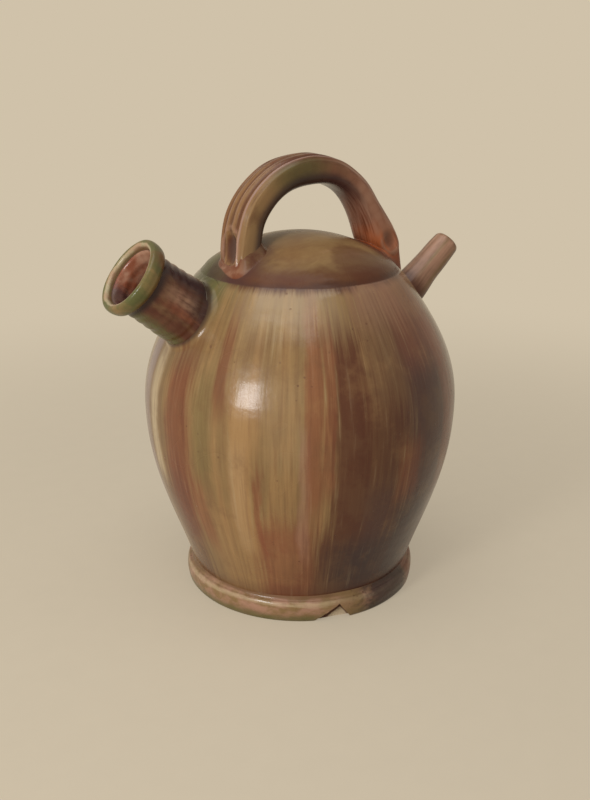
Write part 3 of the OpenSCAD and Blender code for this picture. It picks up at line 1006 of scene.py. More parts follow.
def neck_glaze(glazes, place):
    """Dark brown glaze of the neck, green underneath and bare reddish clay inside; painted light on its
    near side, painted shade under the collar, at the root and deep in the bore.
    """
    material, tree, shader, spot = glaze_sheet("neck_glaze", place)
    streaks = placed(tree, "turned_streaks", {"Place": spot, "Runs": 3.0, "Lines": 9.0, "Stretch": 60.0})
    base = blend(tree, fade(tree, streaks["Run"], 0.36, 0.66), glazes.dark_brown, glazes.umber)
    base = lay_runs(tree, base, streaks, glazes, [
        # The tan-pink patch at -80 is glaze colour, lightened as painted light on the near side
        ("tan_pink", -80, 15, 0.006, 0.03, 0.5),
        ("red_brown", -98, 9, 0.002, 0.026, 0.6),
        # The plum runs at -36 and -60 are dark glaze and also painted shade, on the upper near side and at
        # the root
        ("plum", -36, 20, -0.01, 0.05, 0.95),
        ("plum", -60, 42, -0.02, 0.0125, 0.9),
        ("tan_pink", -6, 12, 0.004, 0.04, 0.4),
        ("dark_brown", -132, 16, -0.01, 0.05, 0.6),
        ("moss", -162, 24, -0.01, 0.05, 0.85),
        ("red_brown", 80, 18, 0.0, 0.03, 0.5),
    ])
    base = stain(tree, base, fade(tree, streaks["Line"], 0.55, 0.3), 0.5, glazes.dark_brown)
    # Painted shadow: plum on the neck just under the collar
    base = stain(tree, base, fade(tree, streaks["Height"], 0.0315, 0.037), 0.85, glazes.plum)
    inside = fade(tree, reach_of(tree, spot), 0.0192, 0.0186)
    mottle = fade(tree, grain(tree, spot, 90.0, 3.0), 0.35, 0.65)
    bare = blend(tree, mottle, glazes.tan_pink, glazes.red_brown)
    # Painted shade: the bare clay darkens deeper inside the bore
    bare = stain(tree, bare, fade(tree, streaks["Height"], 0.032, 0.004), 0.5, glazes.dark_brown)
    bare = lay_runs(tree, bare, streaks, glazes, [("plum", 156, 44, -0.02, 0.06, 0.8)])
    base = blend(tree, inside, base, bare)
    skin = turned_skin(tree, spot, streaks, pitch=0.0055, depth=0.3, gloss=0.24)
    finish_glaze(tree, shader, base, skin)
    return material


def collar_glaze(glazes, place):
    """Olive-green glaze of the collar, worn pale along the lip."""
    material, tree, shader, spot = glaze_sheet("collar_glaze", place)
    streaks = placed(tree, "turned_streaks", {"Place": spot, "Runs": 1.3, "Lines": 6.0, "Stretch": 60.0})
    base = blend(tree, fade(tree, streaks["Run"], 0.44, 0.74), glazes.moss, glazes.olive)
    base = lay_runs(tree, base, streaks, glazes, [
        ("ochre", -85, 16, 0.03, 0.047, 0.5),
        ("red_brown", -45, 14, 0.03, 0.047, 0.6),
        ("dark_brown", -10, 20, 0.03, 0.046, 0.5),
    ])
    base = stain(tree, base, fade(tree, streaks["Height"], 0.0425, 0.0385), 0.7, glazes.dark_brown)
    worn = plus(tree, reach_of(tree, spot), times(tree, streaks["Wander"], 0.002))
    front = fade(tree, streaks["Height"], 0.0462, 0.0478)
    lip = times(tree, fade(tree, worn, 0.0221, 0.0209), front)
    base = stain(tree, base, lip, 0.6, glazes.cream)
    lip_pink = times(tree, lip, fade(tree, streaks["Run"], 0.45, 0.6))
    base = stain(tree, base, lip_pink, 0.6, glazes.tan_pink)
    inner = fade(tree, worn, 0.0202, 0.0193)
    base = stain(tree, base, inner, 0.75, glazes.umber)
    skin = turned_skin(tree, spot, streaks, pitch=0.004, depth=0.15, gloss=0.28)
    finish_glaze(tree, shader, base, skin, depth=0.0005)
    return material


def spout_glaze(glazes, place):
    """Pinkish tan glaze of the spout, with painted shade underneath and at its root."""
    material, tree, shader, spot = glaze_sheet("spout_glaze", place)
    streaks = placed(tree, "turned_streaks", {"Place": spot, "Runs": 2.2, "Lines": 8.0, "Stretch": 24.0})
    base = blend(tree, fade(tree, streaks["Run"], 0.48, 0.8), glazes.tan_pink, glazes.umber)
    base = lay_runs(tree, base, streaks, glazes, [
        ("olive", -74, 10, 0.008, 0.045, 0.7),
        # The dark brown runs at -36 and 40 flank the underside as painted shade
        ("dark_brown", -36, 26, -0.02, 0.06, 0.9),
        ("dark_brown", 40, 30, -0.02, 0.06, 0.7),
        ("umber", 150, 20, -0.02, 0.06, 0.6),
        ("cream", -128, 7, 0.015, 0.046, 0.25),
    ])
    base = stain(tree, base, fade(tree, streaks["Line"], 0.55, 0.3), 0.35, glazes.umber)
    level = plus(tree, streaks["Height"], times(tree, streaks["Wander"], 0.01))
    # Painted shade at the root of the spout
    base = stain(tree, base, fade(tree, level, 0.018, 0.005), 0.95, glazes.dark_brown)
    base = stain(tree, base, fade(tree, level, 0.0485, 0.0515), 0.55, glazes.umber)
    skin = turned_skin(tree, spot, streaks, pitch=0.006, depth=0.12, gloss=0.28)
    finish_glaze(tree, shader, base, skin)
    return material


def handle_glaze(glazes):
    """Brown glaze of the strap, thin and pale on the ribs, dark in the grooves, red on the rear leg, with
    painted light, sheen and shade.
    """
    material, tree, shader, spot = glaze_sheet("handle_glaze")
    shader.inputs["Specular IOR Level"].default_value = 0.26
    shader.inputs["Coat Weight"].default_value = 0.05
    along = attribute(tree, "along")
    across = attribute(tree, "across")
    rib = attribute(tree, "rib")
    drawn = vector_of(tree, times(tree, along, 9.0), times(tree, across, 12.0), 0.0)
    line = grain(tree, drawn, 1.0, 3.0, 0.55)
    cloud = grain(tree, spot, 45.0, 3.0, 0.55)
    base = blend(tree, fade(tree, cloud, 0.34, 0.6), glazes.dark_brown, glazes.umber)
    base = stain(tree, base, fade(tree, line, 0.4, 0.65), 0.35, glazes.red_brown)
    front = fade(tree, along, 0.6, 0.72)
    near = fade(tree, across, 0.72, 0.95)
    base = stain(tree, base, front, 0.45, glazes.ochre)
    base = stain(tree, base, times(tree, front, near), 0.6, glazes.olive)
    crown = times(tree, fade(tree, along, 0.45, 0.55), fade(tree, along, 0.75, 0.62))
    base = stain(tree, base, times(tree, crown, near), 0.6, glazes.moss)
    rear = fade(tree, along, 0.5, 0.3)
    base = stain(tree, base, rear, 0.75, glazes.red_brown)
    base = stain(tree, base, times(tree, rear, fade(tree, line, 0.4, 0.6)), 0.55, glazes.tan_pink)
    # Painted light: tan pink lightens the near side of the rear leg
    base = stain(tree, base, times(tree, rear, near), 0.35, glazes.tan_pink)
    foot_level = plus(tree, along, times(tree, cloud, 0.12))
    inside = attribute(tree, "inside")
    # Painted light: the orange of the rear foot, its own glaze colour, is laid stronger on the inner face,
    # which faces the window
    thin = plus(tree, times(tree, fade(tree, inside, 0.0, 0.3), 0.55), 0.3)
    base = blend(tree, times(tree, fade(tree, foot_level, 0.26, 0.15), thin), base, glazes.orange)
    base = stain(tree, base, fade(tree, line, 0.5, 0.3), 0.45, glazes.dark_brown)
    base = stain(tree, base, fade(tree, rib, 0.6, 0.1), 0.75, glazes.dark_brown)
    far_edge = times(tree, fade(tree, across, -0.5, -0.85), fade(tree, along, 0.45, 0.6))
    base = stain(tree, base, far_edge, 0.6, glazes.dark_brown)
    ridge = times(tree, fade(tree, rib, 0.84, 0.99), fade(tree, along, 0.38, 0.55))
    base = stain(tree, base, ridge, 0.7, glazes.tan_pink)
    # Painted reflection: a lavender sheen of the room along the crests
    sheen = times(tree, ridge, fade(tree, line, 0.42, 0.55))
    base = stain(tree, base, sheen, 0.4, glazes.lavender)
    # Thumb presses: dark brown and plum in the hollows are painted shade; the pale tan-pink lips round
    # them are thin glaze and also painted highlight
    pressed = attribute(tree, "pressed")
    base = stain(tree, base, fade(tree, pressed, -0.1, -0.5), 0.5, glazes.tan_pink)
    base = stain(tree, base, fade(tree, pressed, 0.05, 0.7), 0.8, glazes.dark_brown)
    base = stain(tree, base, fade(tree, pressed, 0.5, 0.95), 0.5, glazes.plum)
    # Painted shade: plum on the inner face of the strap, strong over the arch and the front leg, faint low
    # on the rear leg
    inner_shade = fade(tree, inside, 0.05, 0.6)
    depth = plus(tree, times(tree, fade(tree, along, 0.18, 0.38), 0.7), 0.1)
    base = blend(tree, times(tree, inner_shade, depth), base, glazes.plum)
    skin = placed(tree, "glaze_skin", {"Place": spot, "Line": line, "Ring Depth": 0.0, "Gloss": 0.22})
    finish_glaze(tree, shader, base, skin)
    return material


def pad_glaze(glazes):
    """Glaze over the wads of clay at the feet of the handle, darkened toward their rims as painted shade
    where they meet the dome.
    """
    material, tree, shader, spot = glaze_sheet("pad_glaze")
    x, _y, _z = parts_of(tree, spot)
    cloud = grain(tree, spot, 70.0, 4.0, 0.6)
    spread = attribute(tree, "spread")
    front = blend(tree, fade(tree, cloud, 0.36, 0.62), glazes.dark_brown, glazes.umber)
    toe = fade(tree, plus(tree, x, times(tree, cloud, 0.016)), -0.04, -0.05)
    front = stain(tree, front, toe, 0.55, glazes.red_brown)
    front = stain(tree, front, times(tree, toe, fade(tree, cloud, 0.48, 0.62)), 0.35, glazes.tan_pink)
    rear = stain(tree, glazes.red_brown, fade(tree, cloud, 0.5, 0.3), 0.35, glazes.dark_brown)
    rear = stain(tree, rear, fade(tree, cloud, 0.54, 0.66), 0.25, glazes.tan_pink)
    bright = times(tree, fade(tree, spread, 0.1, 0.4), fade(tree, x, 0.072, 0.058))
    rear = stain(tree, rear, times(tree, bright, fade(tree, cloud, 0.34, 0.52)), 0.85, glazes.orange)
    # Painted shade: darker toward the rims of the wads, where they meet the dome
    worked = plus(tree, spread, times(tree, minus(tree, cloud, 0.5), 0.6))
    front = stain(tree, front, fade(tree, worked, 0.75, 1.0), 0.75, glazes.dark_brown)
    rear = stain(tree, rear, fade(tree, worked, 0.45, 0.95), 0.7, glazes.purple_brown)
    base = blend(tree, fade(tree, x, -0.01, 0.02), front, rear)
    skin = placed(tree, "glaze_skin", {"Place": spot, "Line": cloud, "Ring Depth": 0.0, "Gloss": 0.24})
    finish_glaze(tree, shader, base, skin, depth=0.0008)
    return material


# Operators, one for each piece or group of like pieces


class JUG_OT_thrown_body(bpy.types.Operator):
    """Build the thrown body, hollow and pierced behind the neck and the spout"""

    bl_idname = "jug.thrown_body"
    bl_label = "Thrown Body"

    def execute(self, context):
        scene = context.scene
        tubes = scene.jug_tubes
        wall, _dome = outer_form(scene.jug_body)
        section = [(0, 0), *wall, *self.hollow(scene.jug_body)]
        glaze = body_glaze(scene.jug_glazes, "body_glaze", on_joint=False)
        piece = piece_from(spun(section, closed=False), "thrown_body", "body", glaze)
        cut_away(piece, bore_cutter(neck_place(scene), tubes.neck_bore + tubes.pierce_step))
        cut_away(piece, bore_cutter(spout_place(scene), tubes.spout_bore + tubes.pierce_step))
        sharpen(piece, 40)
        return {"FINISHED"}

    def hollow(self, body):
        """Rim and inner face, down to the middle of the floor."""
        wall = wall_points(body)
        seat = body.shoulder_radius - body.rim_width
        inner = [spot for spot in set_back(wall, [body.wall] * len(wall)) if spot.y > body.floor]
        inner = [spot for spot in inner if spot.x >= seat or spot.y < body.belly_height]
        ledge = 0.002
        corner = 0.01
        foot = inner[0].x
        rim = [(seat, body.shoulder_height), (seat, inner[-1].y + ledge)]
        floor = [
            (foot - 0.4 * corner, body.floor + 0.1 * corner),
            (foot - corner, body.floor),
            (0, body.floor),
        ]
        return [*rim, *reversed(inner), *floor]


class JUG_OT_closing_dome(bpy.types.Operator):
    """Build the dome that closes the top, with its spigot"""

    bl_idname = "jug.closing_dome"
    bl_label = "Closing Dome"

    def execute(self, context):
        scene = context.scene
        body = scene.jug_body
        _wall, dome = outer_form(body)
        seat = body.shoulder_radius - body.rim_width
        bore = seat - body.spigot_width
        low = body.shoulder_height - body.spigot_depth
        under = set_back(dome, [body.wall] * len(dome))
        under[-1].x = 0
        under = [point for point in under if point.x < bore]
        ledge = 0.001
        spigot = [(bore, under[0].y - ledge), (bore, low), (seat, low), (seat, body.shoulder_height)]
        section = [*reversed(under), *spigot, *dome]
        glaze = dome_glaze(scene.jug_glazes)
        piece = piece_from(spun(section, closed=False), "domed_cap", "closing_dome", glaze)
        sharpen(piece, 40)
        return {"FINISHED"}


class JUG_OT_foot_ring(bpy.types.Operator):
    """Build the foot ring, chipped at the front"""

    bl_idname = "jug.foot_ring"
    bl_label = "Foot Ring"

    def execute(self, context):
        scene = context.scene
        body = scene.jug_body
        ring = spun(self.section(body), closed=True, steps=256)
        self.sway(ring)
        piece = piece_from(ring, "skirted_foot", "foot_ring", foot_glaze(scene.jug_glazes))
        cut_away(piece, self.chip(body))
        piece.data.materials.append(broken_clay(scene.jug_glazes, body))
        self.bare_chip(piece.data, body)
        sharpen(piece, 38)
        return {"FINISHED"}

    def section(self, body):
        """Outline of the ring, swollen outside, with a cove that runs up the wall."""
        waist = body.base_radius + body.base_lean * body.foot_height
        wide = body.base_radius + body.foot_width
        top = body.foot_height
        rounding = 0.0008
        lip = Vector((waist + 0.0032, top))
        edge = (
            Vector((wide, rounding)),
            Vector((wide + 0.0016, top * 0.5)),
            Vector((wide + 0.0012, top * 0.9)),
            lip,
        )
        cove = (
            lip,
            Vector((waist + 0.0012, top + 0.0002)),
            Vector((waist + 0.0012, top + 0.0024)),
            Vector((waist + 0.0007, top + 0.005)),
        )
        section = [Vector((body.base_radius - 0.001, 0)), Vector((wide - rounding, 0))]
        section += curve_points(edge, 18)[:-1]
        section += curve_points(cove, 10)
        section.append(Vector((waist - 0.0004, top - 0.0001)))
        return section

    def sway(self, ring):
        """Lets the ring run unevenly round the jug, all but its underside."""
        underside = 0.0004
        spread = 0.03
        share_of_radius = 0.0065
        for vert in ring.verts:
            if vert.co.z > underside:
                swing = noise.noise(Vector((vert.co.x, vert.co.y, vert.co.z * 0.4)) / spread)
                vert.co.xy *= 1 + share_of_radius * swing

    def chip(self, body):
        """Wedge that is broken out of the ring, with a rough face."""
        wedge = bmesh.new()
        near = body.base_radius + body.foot_width - body.chip_depth
        left = -2 / 3
        right = 1 / 3
        below = -0.15
        ground = 0.98
        corners = [(left, below), (left * ground, 0), (0, 1), (right * ground, 0), (right, below)]
        verts = [wedge.verts.new((near, y * body.chip_width, z * body.chip_height)) for y, z in corners]
        face = wedge.faces.new(verts)
        grown = bmesh.ops.extrude_face_region(wedge, geom=[face])["geom"]
        moved = [part for part in grown if isinstance(part, bmesh.types.BMVert)]
        bmesh.ops.translate(wedge, vec=(2 * body.foot_width, 0, 0.001), verts=moved)
        bmesh.ops.subdivide_edges(wedge, edges=wedge.edges, cuts=7, use_grid_fill=True)
        wobble(wedge, amount=0.0005, spread=0.003)
        bearing = Matrix.Rotation(body.chip_bearing, 3, "Z")
        bmesh.ops.rotate(wedge, cent=(0, 0, 0), matrix=bearing, verts=wedge.verts)
        bmesh.ops.triangulate(wedge, faces=wedge.faces)
        bmesh.ops.recalc_face_normals(wedge, faces=wedge.faces)
        return wedge

    def bare_chip(self, mesh, body):
        """Gives the broken faces the raw clay."""
        way = Vector((math.cos(body.chip_bearing), math.sin(body.chip_bearing), 0))
        side = Vector((-way.y, way.x, 0))
        wide = body.base_radius + body.foot_width
        margin = 0.001
        steep = 0.4
        underside = 0.0002
        top = body.chip_height + 0.0015
        for face in mesh.polygons:
            beside = abs(face.center.dot(side)) < 0.8 * body.chip_width
            ahead = face.center.dot(way) > wide - body.chip_depth - margin
            broken = face.center.xy.length < wide - margin or abs(face.normal.dot(side)) > steep
            if beside and ahead and broken and underside < face.center.z < top:
                face.material_index = 1


class JUG_OT_filler_neck(bpy.types.Operator):
    """Build the tilted neck that the jug is filled through"""

    bl_idname = "jug.filler_neck"
    bl_label = "Filler Neck"

    def execute(self, context):
        scene = context.scene
        place = neck_place(scene)
        glaze = neck_glaze(scene.jug_glazes, place)
        labels = ("tilted_neck", "filler_neck")
        section = self.section(scene.jug_tubes)
        piece = tube_piece(section, place, labels, glaze, steps=128, sway=(0.00025, 0.018))
        sharpen(piece, 50)
        return {"FINISHED"}

    def section(self, tubes):
        """Outline of the neck: throwing rings and a bead outside, a flared mouth and a plain bore."""
        mouth = tubes.neck_length - tubes.mouth_recess
        under_collar = tubes.neck_length - tubes.collar_height
        root = -tubes.root_depth
        ring_pitch = 0.0062
        ring_depth = 0.00022
        bead_height = 0.011
        bead_depth = 0.0004
        section = [Vector((tubes.neck_bore, root)), Vector((tubes.neck_root_radius, root))]
        steps = 40
        for step in range(steps + 1):
            part = step / steps
            height = under_collar * part
            radius = tubes.neck_root_radius + (tubes.neck_top_radius - tubes.neck_root_radius) * part
            radius += ring_depth * math.sin(height / ring_pitch * 2 * math.pi)
            radius += bead_depth * bell(height - bead_height, 0.002)
            section.append(Vector((radius, height)))
        section.append(Vector((tubes.neck_top_radius, mouth - 0.0003)))
        section.append(Vector((tubes.neck_top_radius - 0.0006, mouth + 0.0004)))
        flare = [(0.0024, 0.0), (0.0017, 0.0012), (0.0008, 0.003), (0.00025, 0.0045), (0.0, 0.0062)]
        section += [Vector((tubes.neck_bore + out, mouth - back)) for out, back in flare]
        section += [Vector((tubes.neck_bore, mouth * part)) for part in (0.75, 0.6, 0.45, 0.3, 0.15, 0.0)]
        return section


class JUG_OT_mouth_collar(bpy.types.Operator):
    """Build the rounded bead round the mouth"""

    bl_idname = "jug.mouth_collar"
    bl_label = "Mouth Collar"

    def execute(self, context):
        scene = context.scene
        tubes = scene.jug_tubes
        place = neck_place(scene)
        front = tubes.neck_length
        wide = tubes.collar_radius
        inner = tubes.neck_top_radius
        back = front - tubes.collar_height
        corners = [
            (inner - 0.0008, back + 0.001), (inner + 0.0006, back + 0.0002),
            (wide - 0.0016, back + 0.0005), (wide - 0.0002, back + 0.003),
            (wide + 0.0004, back + 0.006), (wide + 0.0002, front - 0.0018),
            (wide - 0.0012, front), (inner + 0.0008, front - 0.0003),
            (inner - 0.0002, front - 0.0018), (inner - 0.0011, front - 0.0042),
        ]
        glaze = collar_glaze(scene.jug_glazes, place)
        labels = ("beaded_collar", "mouth_collar")
        piece = tube_piece(corners, place, labels, glaze, steps=128, sway=(0.0003, 0.016))
        soften(piece, 2)
        return {"FINISHED"}


class JUG_OT_joint_coils(bpy.types.Operator):
    """Build the rolls of clay worked into the roots of the neck and the spout"""

    bl_idname = "jug.joint_coils"
    bl_label = "Joint Coils"

    def execute(self, context):
        scene = context.scene
        tubes = scene.jug_tubes
        glaze = body_glaze(scene.jug_glazes, "coil_slip", on_joint=True)
        sizes = (tubes.neck_root_radius, tubes.neck_coil_spread, tubes.neck_coil_height)
        self.coil(scene, "neck_root_coil", "neck_joint_coil", neck_place(scene), sizes, glaze)
        sizes = (tubes.spout_root_radius, tubes.spout_coil_spread, tubes.spout_coil_height)
        self.coil(scene, "spout_root_coil", "spout_joint_coil", spout_place(scene), sizes, glaze)
        return {"FINISHED"}

    def coil(self, scene, name, node, place, sizes, glaze):
        """One coil, worked up the tube and out over the wall, which it follows."""
        radius, spread, height = sizes
        let_in = radius - 0.0008
        roll = (
            Vector((radius - 0.0004, height)),
            Vector((radius + spread * 0.05, height * 0.3)),
            Vector((radius + spread * 0.3, height * 0.04)),
            Vector((radius + spread, -0.0006)),
        )
        section = curve_points(roll, 14)
        section.append(Vector((radius + spread, -0.0025)))
        section.append(Vector((let_in, -scene.jug_tubes.root_depth)))
        section.append(Vector((let_in, height - 0.0006)))
        shape = spun(section, closed=True, steps=112)
        layer = shape.verts.layers.float.new("spread")
        wall = wall_points(scene.jug_body)
        for vert in shape.verts:
            vert[layer] = (math.hypot(vert.co.x, vert.co.y) - radius) / spread
            vert.co.z += self.wall_level(wall, place, vert.co.x, vert.co.y)
        wobble(shape, amount=0.0002, spread=0.008)
        bmesh.ops.transform(shape, matrix=place, verts=shape.verts)
        piece_from(shape, name, node, glaze)

    def wall_level(self, wall, place, x, y):
        """Height of the wall along a tube, at a place beside the tube's axis, found by halving."""
        low = -0.03
        high = 0.02
        for _step in range(24):
            middle = (low + high) / 2
            spot = place @ Vector((x, y, middle))
            if math.hypot(spot.x, spot.y) > radius_at(wall, spot.z):
                high = middle
            else:
                low = middle
        return high


class JUG_OT_pouring_spout(bpy.types.Operator):
    """Build the narrow spout with its rounded tip"""

    bl_idname = "jug.pouring_spout"
    bl_label = "Pouring Spout"

    def execute(self, context):
        scene = context.scene
        place = spout_place(scene)
        glaze = spout_glaze(scene.jug_glazes, place)
        labels = ("tapered_spout", "pouring_spout")
        section = self.section(scene.jug_tubes)
        piece = tube_piece(section, place, labels, glaze, steps=96, sway=(0.0003, 0.014))
        sharpen(piece, 50)
        return {"FINISHED"}

    def section(self, tubes):
        """Outline of the spout: a tapered wall that swells a little, a round tip and a plain bore."""
        tip = (tubes.spout_tip_radius - tubes.spout_bore) / 2
        straight = tubes.spout_length - tip
        root = -tubes.root_depth
        swell = 0.0003
        section = [Vector((tubes.spout_bore, root)), Vector((tubes.spout_root_radius, root))]
        steps = 32
        for step in range(steps + 1):
            part = step / steps
            radius = tubes.spout_root_radius + (tubes.spout_tip_radius - tubes.spout_root_radius) * part
            section.append(Vector((radius + swell * math.sin(part * 9), straight * part)))
        middle = Vector((tubes.spout_bore + tip, straight))
        tip_steps = 12
        for step in range(1, tip_steps):
            angle = math.pi * step / tip_steps
            section.append(middle + Vector((math.cos(angle), math.sin(angle))) * tip)
        section += [Vector((tubes.spout_bore, straight * part)) for part in (1.0, 0.75, 0.5, 0.25)]
        return section


class JUG_OT_carrying_handle(bpy.types.Operator):
    """Build the ribbed strap handle, drawn round its arch and pressed down at both feet"""

    bl_idname = "jug.carrying_handle"
    bl_label = "Carrying Handle"

    def execute(self, context):
        scene = context.scene
        handle = scene.jug_handle

        def put(along, round_share):
            return strap_point(handle, along, round_share, 1.0)

        labels = ("along", "across", "rib", "pressed", "inside")
        strap = drawn_out(count=80, stations=90, labels=labels, put=put)
        piece = piece_from(strap, "ribbed_strap", "carrying_handle", handle_glaze(scene.jug_glazes))
        soften(piece, 1)
        return {"FINISHED"}


class JUG_OT_handle_pads(bpy.types.Operator):
    """Build the wads of clay smeared from the feet of the handle over the dome and the shoulder"""

    bl_idname = "jug.handle_pads"
    bl_label = "Handle Pads"

    def execute(self, context):
        scene = context.scene
        handle = scene.jug_handle
        glaze = pad_glaze(scene.jug_glazes)
        wall, dome = outer_form(scene.jug_body)
        form = [*reversed(dome), *reversed(wall)]
        # Three values belong to the outer face, the sides and the inner face of the strap
        front = {
            "name": "front_wad",
            "node": "front_handle_pad",
            "middle": strap_line(handle, 0.95)[0] + Vector((-0.004, -0.007, 0)),
            "relief": 0.0,
            "way_down": 0.03,
            "top": (0.938, 0.9, 0.865),
            "far": handle.front_pad_reach,
            "reach": (0.6, 0.9, 0.7),
            "toe": 0.45,
            "swell": (0.0032, 0.0012, 0.0008),
            "run": (0.0, 0.0018, 0.002),
        }
        rear = {
            "name": "rear_wad",
            "node": "rear_handle_pad",
            "middle": strap_line(handle, 0.0)[0],
            "relief": 1.0,
            "way_down": -0.03,
            "top": (0.03, 0.06, 0.125),
            "far": handle.rear_pad_reach,
            "reach": (0.45, 0.7, 0.6),
            "toe": -0.2,
            "swell": (0.002, 0.001, 0.001),
            "run": (0.001, 0.003, 0.003),
        }
        self.pad(handle, form, front, glaze)
        self.pad(handle, form, rear, glaze)
        return {"FINISHED"}

    def round_foot(self, values, angle):
        """Value between those of the outer face, the sides and the inner face of the strap."""
        outer, side, inner = values
        lean = math.sin(angle)
        return side + (outer - side) * max(lean, 0) + (inner - side) * max(-lean, 0)

    def height(self, form, radius):
        """Height of the dome or the shoulder at a distance from the jug axis."""
        for near, far in zip(form, form[1:]):
            if near.x <= radius <= far.x:
                return near.y + (far.y - near.y) * (radius - near.x) / (far.x - near.x)
        raise ValueError("The pad reaches past the belly")

    def pad(self, handle, form, foot, glaze):
        """One wad, drawn from the skin of the strap out and down over the jug."""
        rows = 15
        toe_way = Vector((-0.42, -0.907, 0))
        cover = 0.0004
        rim_sink = 0.0006
        root_sink = Vector((0, 0, 0.004))
        edge_sink = Vector((0, 0, 0.0018))
        edge_inset = 0.002
        smoothings = 9

        def put(gone, round_share):
            angle = 2 * math.pi * round_share
            top_along = self.round_foot(foot["top"], angle)
            skin = strap_point(handle, top_along, round_share, foot["relief"])[0]
            lower = strap_point(handle, top_along + foot["way_down"], round_share, foot["relief"])[0]
            middle = foot["middle"]
            way = Vector((skin.x - middle.x, skin.y - middle.y, 0)).normalized()
            lump = 1 + 0.2 * noise.noise(way * 1.4 + Vector((middle.x * 50, 0, 0)))
            reach = foot["far"] * self.round_foot(foot["reach"], angle) * lump * (0.75 - 0.25 * way.y)
            reach *= 1 + foot["toe"] * max(way.dot(toe_way), 0) ** 4
            rim = Vector((skin.x, skin.y, 0)) + way * reach
            rim.z = self.height(form, math.hypot(rim.x, rim.y)) - rim_sink
            if gone < 0.5 / rows:
                return skin + (middle - skin) * 0.6 - root_sink, (0.0,)
            if gone > (rows - 0.5) / rows:
                return rim - way * edge_inset - edge_sink, (1.0,)
            part = (gone * rows - 1) / (rows - 2)
            swell = Vector((0, 0, self.round_foot(foot["swell"], angle)))
            run = way * self.round_foot(foot["run"], angle)
            fall = (
                skin - way * cover,
                skin + (lower - skin) * 0.45 + way * cover,
                rim + swell - run,
                rim,
            )
            spot = on_curve(fall, part)
            spot.z += 0.0005 * noise.noise(spot / 0.008) * part * (1 - part) * 4
            return spot, (part,)

        wad = drawn_out(count=96, stations=rows, labels=("spread",), put=put)
        spread = wad.verts.layers.float["spread"]
        free = [vert for vert in wad.verts if 0 < vert[spread] < 1]
        for _pass in range(smoothings):
            bmesh.ops.smooth_vert(
                wad, verts=free, factor=0.5, use_axis_x=True, use_axis_y=True, use_axis_z=True
            )
        piece_from(wad, foot["name"], foot["node"], glaze)


def seen_rays(tree):
    """1 for the rays that see the backdrop: those of the camera, of gloss and through glass."""
    rays = tree.nodes.new("ShaderNodeLightPath").outputs
    beyond = calc(tree, "MAXIMUM", rays["Is Glossy Ray"], rays["Is Transmission Ray"])
    return calc(tree, "MAXIMUM", rays["Is Camera Ray"], beyond)


def mixed_shaders(tree, factor, first, second, end):
    """Links two shaders, mixed by a factor, to the end node of a tree."""
    mix = tree.nodes.new("ShaderNodeMixShader")
    tree.links.new(factor, mix.inputs["Fac"])
    tree.links.new(first, mix.inputs[1])
    tree.links.new(second, mix.inputs[2])
    tree.links.new(mix.outputs["Shader"], tree.nodes[end].inputs["Surface"])


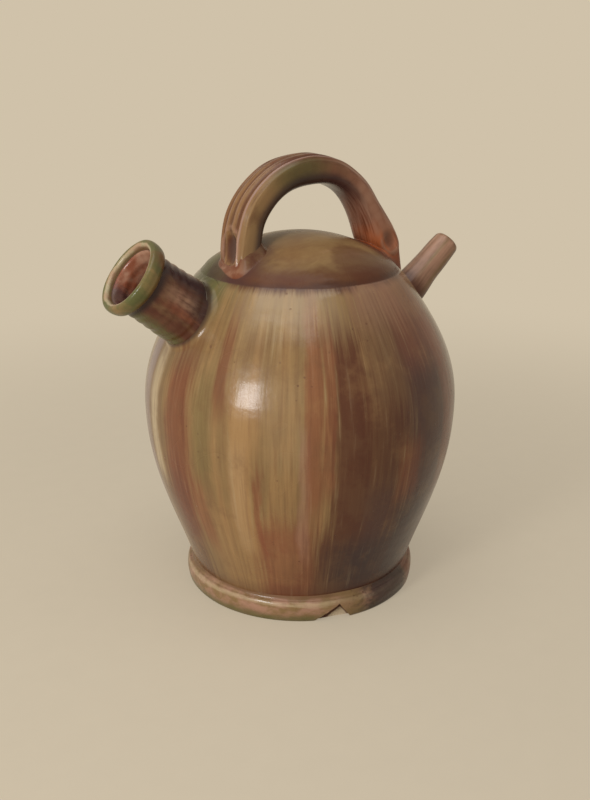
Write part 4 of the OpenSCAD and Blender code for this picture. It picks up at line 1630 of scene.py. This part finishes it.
class JUG_OT_stage(bpy.types.Operator):
    """Lay the floor, hang the lights and set the camera"""

    bl_idname = "jug.stage"
    bl_label = "Stage"

    def execute(self, context):
        scene = context.scene
        stage = scene.jug_stage
        scene.view_settings.view_transform = "Standard"
        self.floor(scene, stage)
        self.room(scene, stage)
        self.lamp(
            scene, "window", place=(-1.21, -0.5, 0.5), target=(0, 0, 0.16), size=(0.3, 0.4),
            power=stage.window_power,
        )
        self.lamp(
            scene, "overhead", place=(-0.35, -0.25, 1.9), target=(0, 0, 0.1), size=(1.6, 1.6),
            power=stage.top_power,
        )
        self.camera(scene, stage)
        return {"FINISHED"}

    def floor(self, scene, stage):
        """Plain floor that takes the shadow and fades into the backdrop."""
        disc = bmesh.new()
        bmesh.ops.create_circle(disc, cap_ends=True, segments=96, radius=6.0)
        mesh = bpy.data.meshes.new("floor")
        disc.to_mesh(mesh)
        disc.free()
        floor = bpy.data.objects.new("floor", mesh)
        scene.collection.objects.link(floor)
        mesh.materials.append(self.paper(stage))

    def paper(self, stage):
        """Paper of the floor, lit near the jug and more and more plain further off."""
        material = bpy.data.materials.new("floor_paper")
        material.use_nodes = True
        tree = material.node_tree
        shader = tree.nodes["Principled BSDF"]
        shader.inputs["Roughness"].default_value = 0.9
        shader.inputs["Specular IOR Level"].default_value = 0.1
        spot = tree.nodes.new("ShaderNodeTexCoord").outputs["Object"]
        fibre = grain(tree, spot, 60.0, 4.0)
        deeper = [channel * 0.93 for channel in stage.paper]
        tree.links.new(blend(tree, fibre, stage.paper, deeper), shader.inputs["Base Color"])
        glow = tree.nodes.new("ShaderNodeEmission")
        glow.inputs["Color"].default_value = (*stage.paper, 1)
        clear = plus(tree, times(tree, fade(tree, reach_of(tree, spot), 0.2, 0.9), 0.5), 0.5)
        factor = times(tree, clear, seen_rays(tree))
        mixed_shaders(tree, factor, shader.outputs["BSDF"], glow.outputs["Emission"], "Material Output")
        return material

    def room(self, scene, stage):
        """Even light of the room, and the backdrop that the camera and the gloss see."""
        world = bpy.data.worlds.new("room")
        scene.world = world
        world.use_nodes = True
        tree = world.node_tree
        light = tree.nodes["Background"]
        light.inputs["Color"].default_value = (1.0, 0.97, 0.93, 1)
        light.inputs["Strength"].default_value = stage.room_light
        backdrop = tree.nodes.new("ShaderNodeBackground")
        backdrop.inputs["Color"].default_value = (*stage.paper, 1)
        shaders = (light.outputs["Background"], backdrop.outputs["Background"])
        mixed_shaders(tree, seen_rays(tree), *shaders, "World Output")

    def lamp(self, scene, name, place, target, size, power):
        """One area light, turned to its target."""
        light = bpy.data.lights.new(name, "AREA")
        light.shape = "RECTANGLE"
        light.size, light.size_y = size
        light.energy = power
        lamp = bpy.data.objects.new(name, light)
        lamp.location = place
        lamp.rotation_euler = (Vector(target) - Vector(place)).to_track_quat("-Z", "Y").to_euler()
        scene.collection.objects.link(lamp)

    def camera(self, scene, stage):
        """Camera at the viewing angle of the picture."""
        camera = bpy.data.cameras.new("camera")
        camera.lens = stage.camera_lens
        eye = bpy.data.objects.new("camera", camera)
        place = Vector(stage.camera_place)
        eye.location = place
        bearing = math.atan2(place.x, -place.y) + stage.camera_turn
        eye.rotation_euler = (math.pi / 2 - stage.camera_pitch, 0, bearing)
        scene.collection.objects.link(eye)
        scene.camera = eye


class JUG_PT_panel(bpy.types.Panel):
    """Sizes, colours and steps of the jug"""

    bl_idname = "JUG_PT_panel"
    bl_label = "Cider Jug"
    bl_space_type = "VIEW_3D"
    bl_region_type = "UI"
    bl_category = "Jug"

    def draw(self, context):
        for name in SETTINGS:
            box = self.layout.box()
            settings = getattr(context.scene, name)
            box.label(text=settings.bl_rna.description)
            for label in settings.bl_rna.properties.keys():
                if label not in ("rna_type", "name"):
                    box.prop(settings, label)
        for step in STEPS:
            self.layout.operator(step.bl_idname)


STEPS = (
    JUG_OT_thrown_body,
    JUG_OT_closing_dome,
    JUG_OT_foot_ring,
    JUG_OT_filler_neck,
    JUG_OT_mouth_collar,
    JUG_OT_joint_coils,
    JUG_OT_pouring_spout,
    JUG_OT_carrying_handle,
    JUG_OT_handle_pads,
    JUG_OT_stage,
)


def register():
    """Registers the settings, the operators and the panel."""
    for name, settings in SETTINGS.items():
        bpy.utils.register_class(settings)
        setattr(bpy.types.Scene, name, bpy.props.PointerProperty(type=settings))
    for step in STEPS:
        bpy.utils.register_class(step)
    bpy.utils.register_class(JUG_PT_panel)


def unregister():
    """Takes them away again."""
    bpy.utils.unregister_class(JUG_PT_panel)
    for step in reversed(STEPS):
        bpy.utils.unregister_class(step)
    for name, settings in SETTINGS.items():
        delattr(bpy.types.Scene, name)
        bpy.utils.unregister_class(settings)


def main():
    """Builds the whole jug on its stage."""
    register()
    noise.seed_set(WOBBLE_SEED)
    make_turned_group()
    make_run_group()
    make_skin_group()
    bpy.ops.jug.thrown_body()
    bpy.ops.jug.closing_dome()
    bpy.ops.jug.foot_ring()
    bpy.ops.jug.filler_neck()
    bpy.ops.jug.mouth_collar()
    bpy.ops.jug.joint_coils()
    bpy.ops.jug.pouring_spout()
    bpy.ops.jug.carrying_handle()
    bpy.ops.jug.handle_pads()
    bpy.ops.jug.stage()


if __name__ == "__main__":
    main()
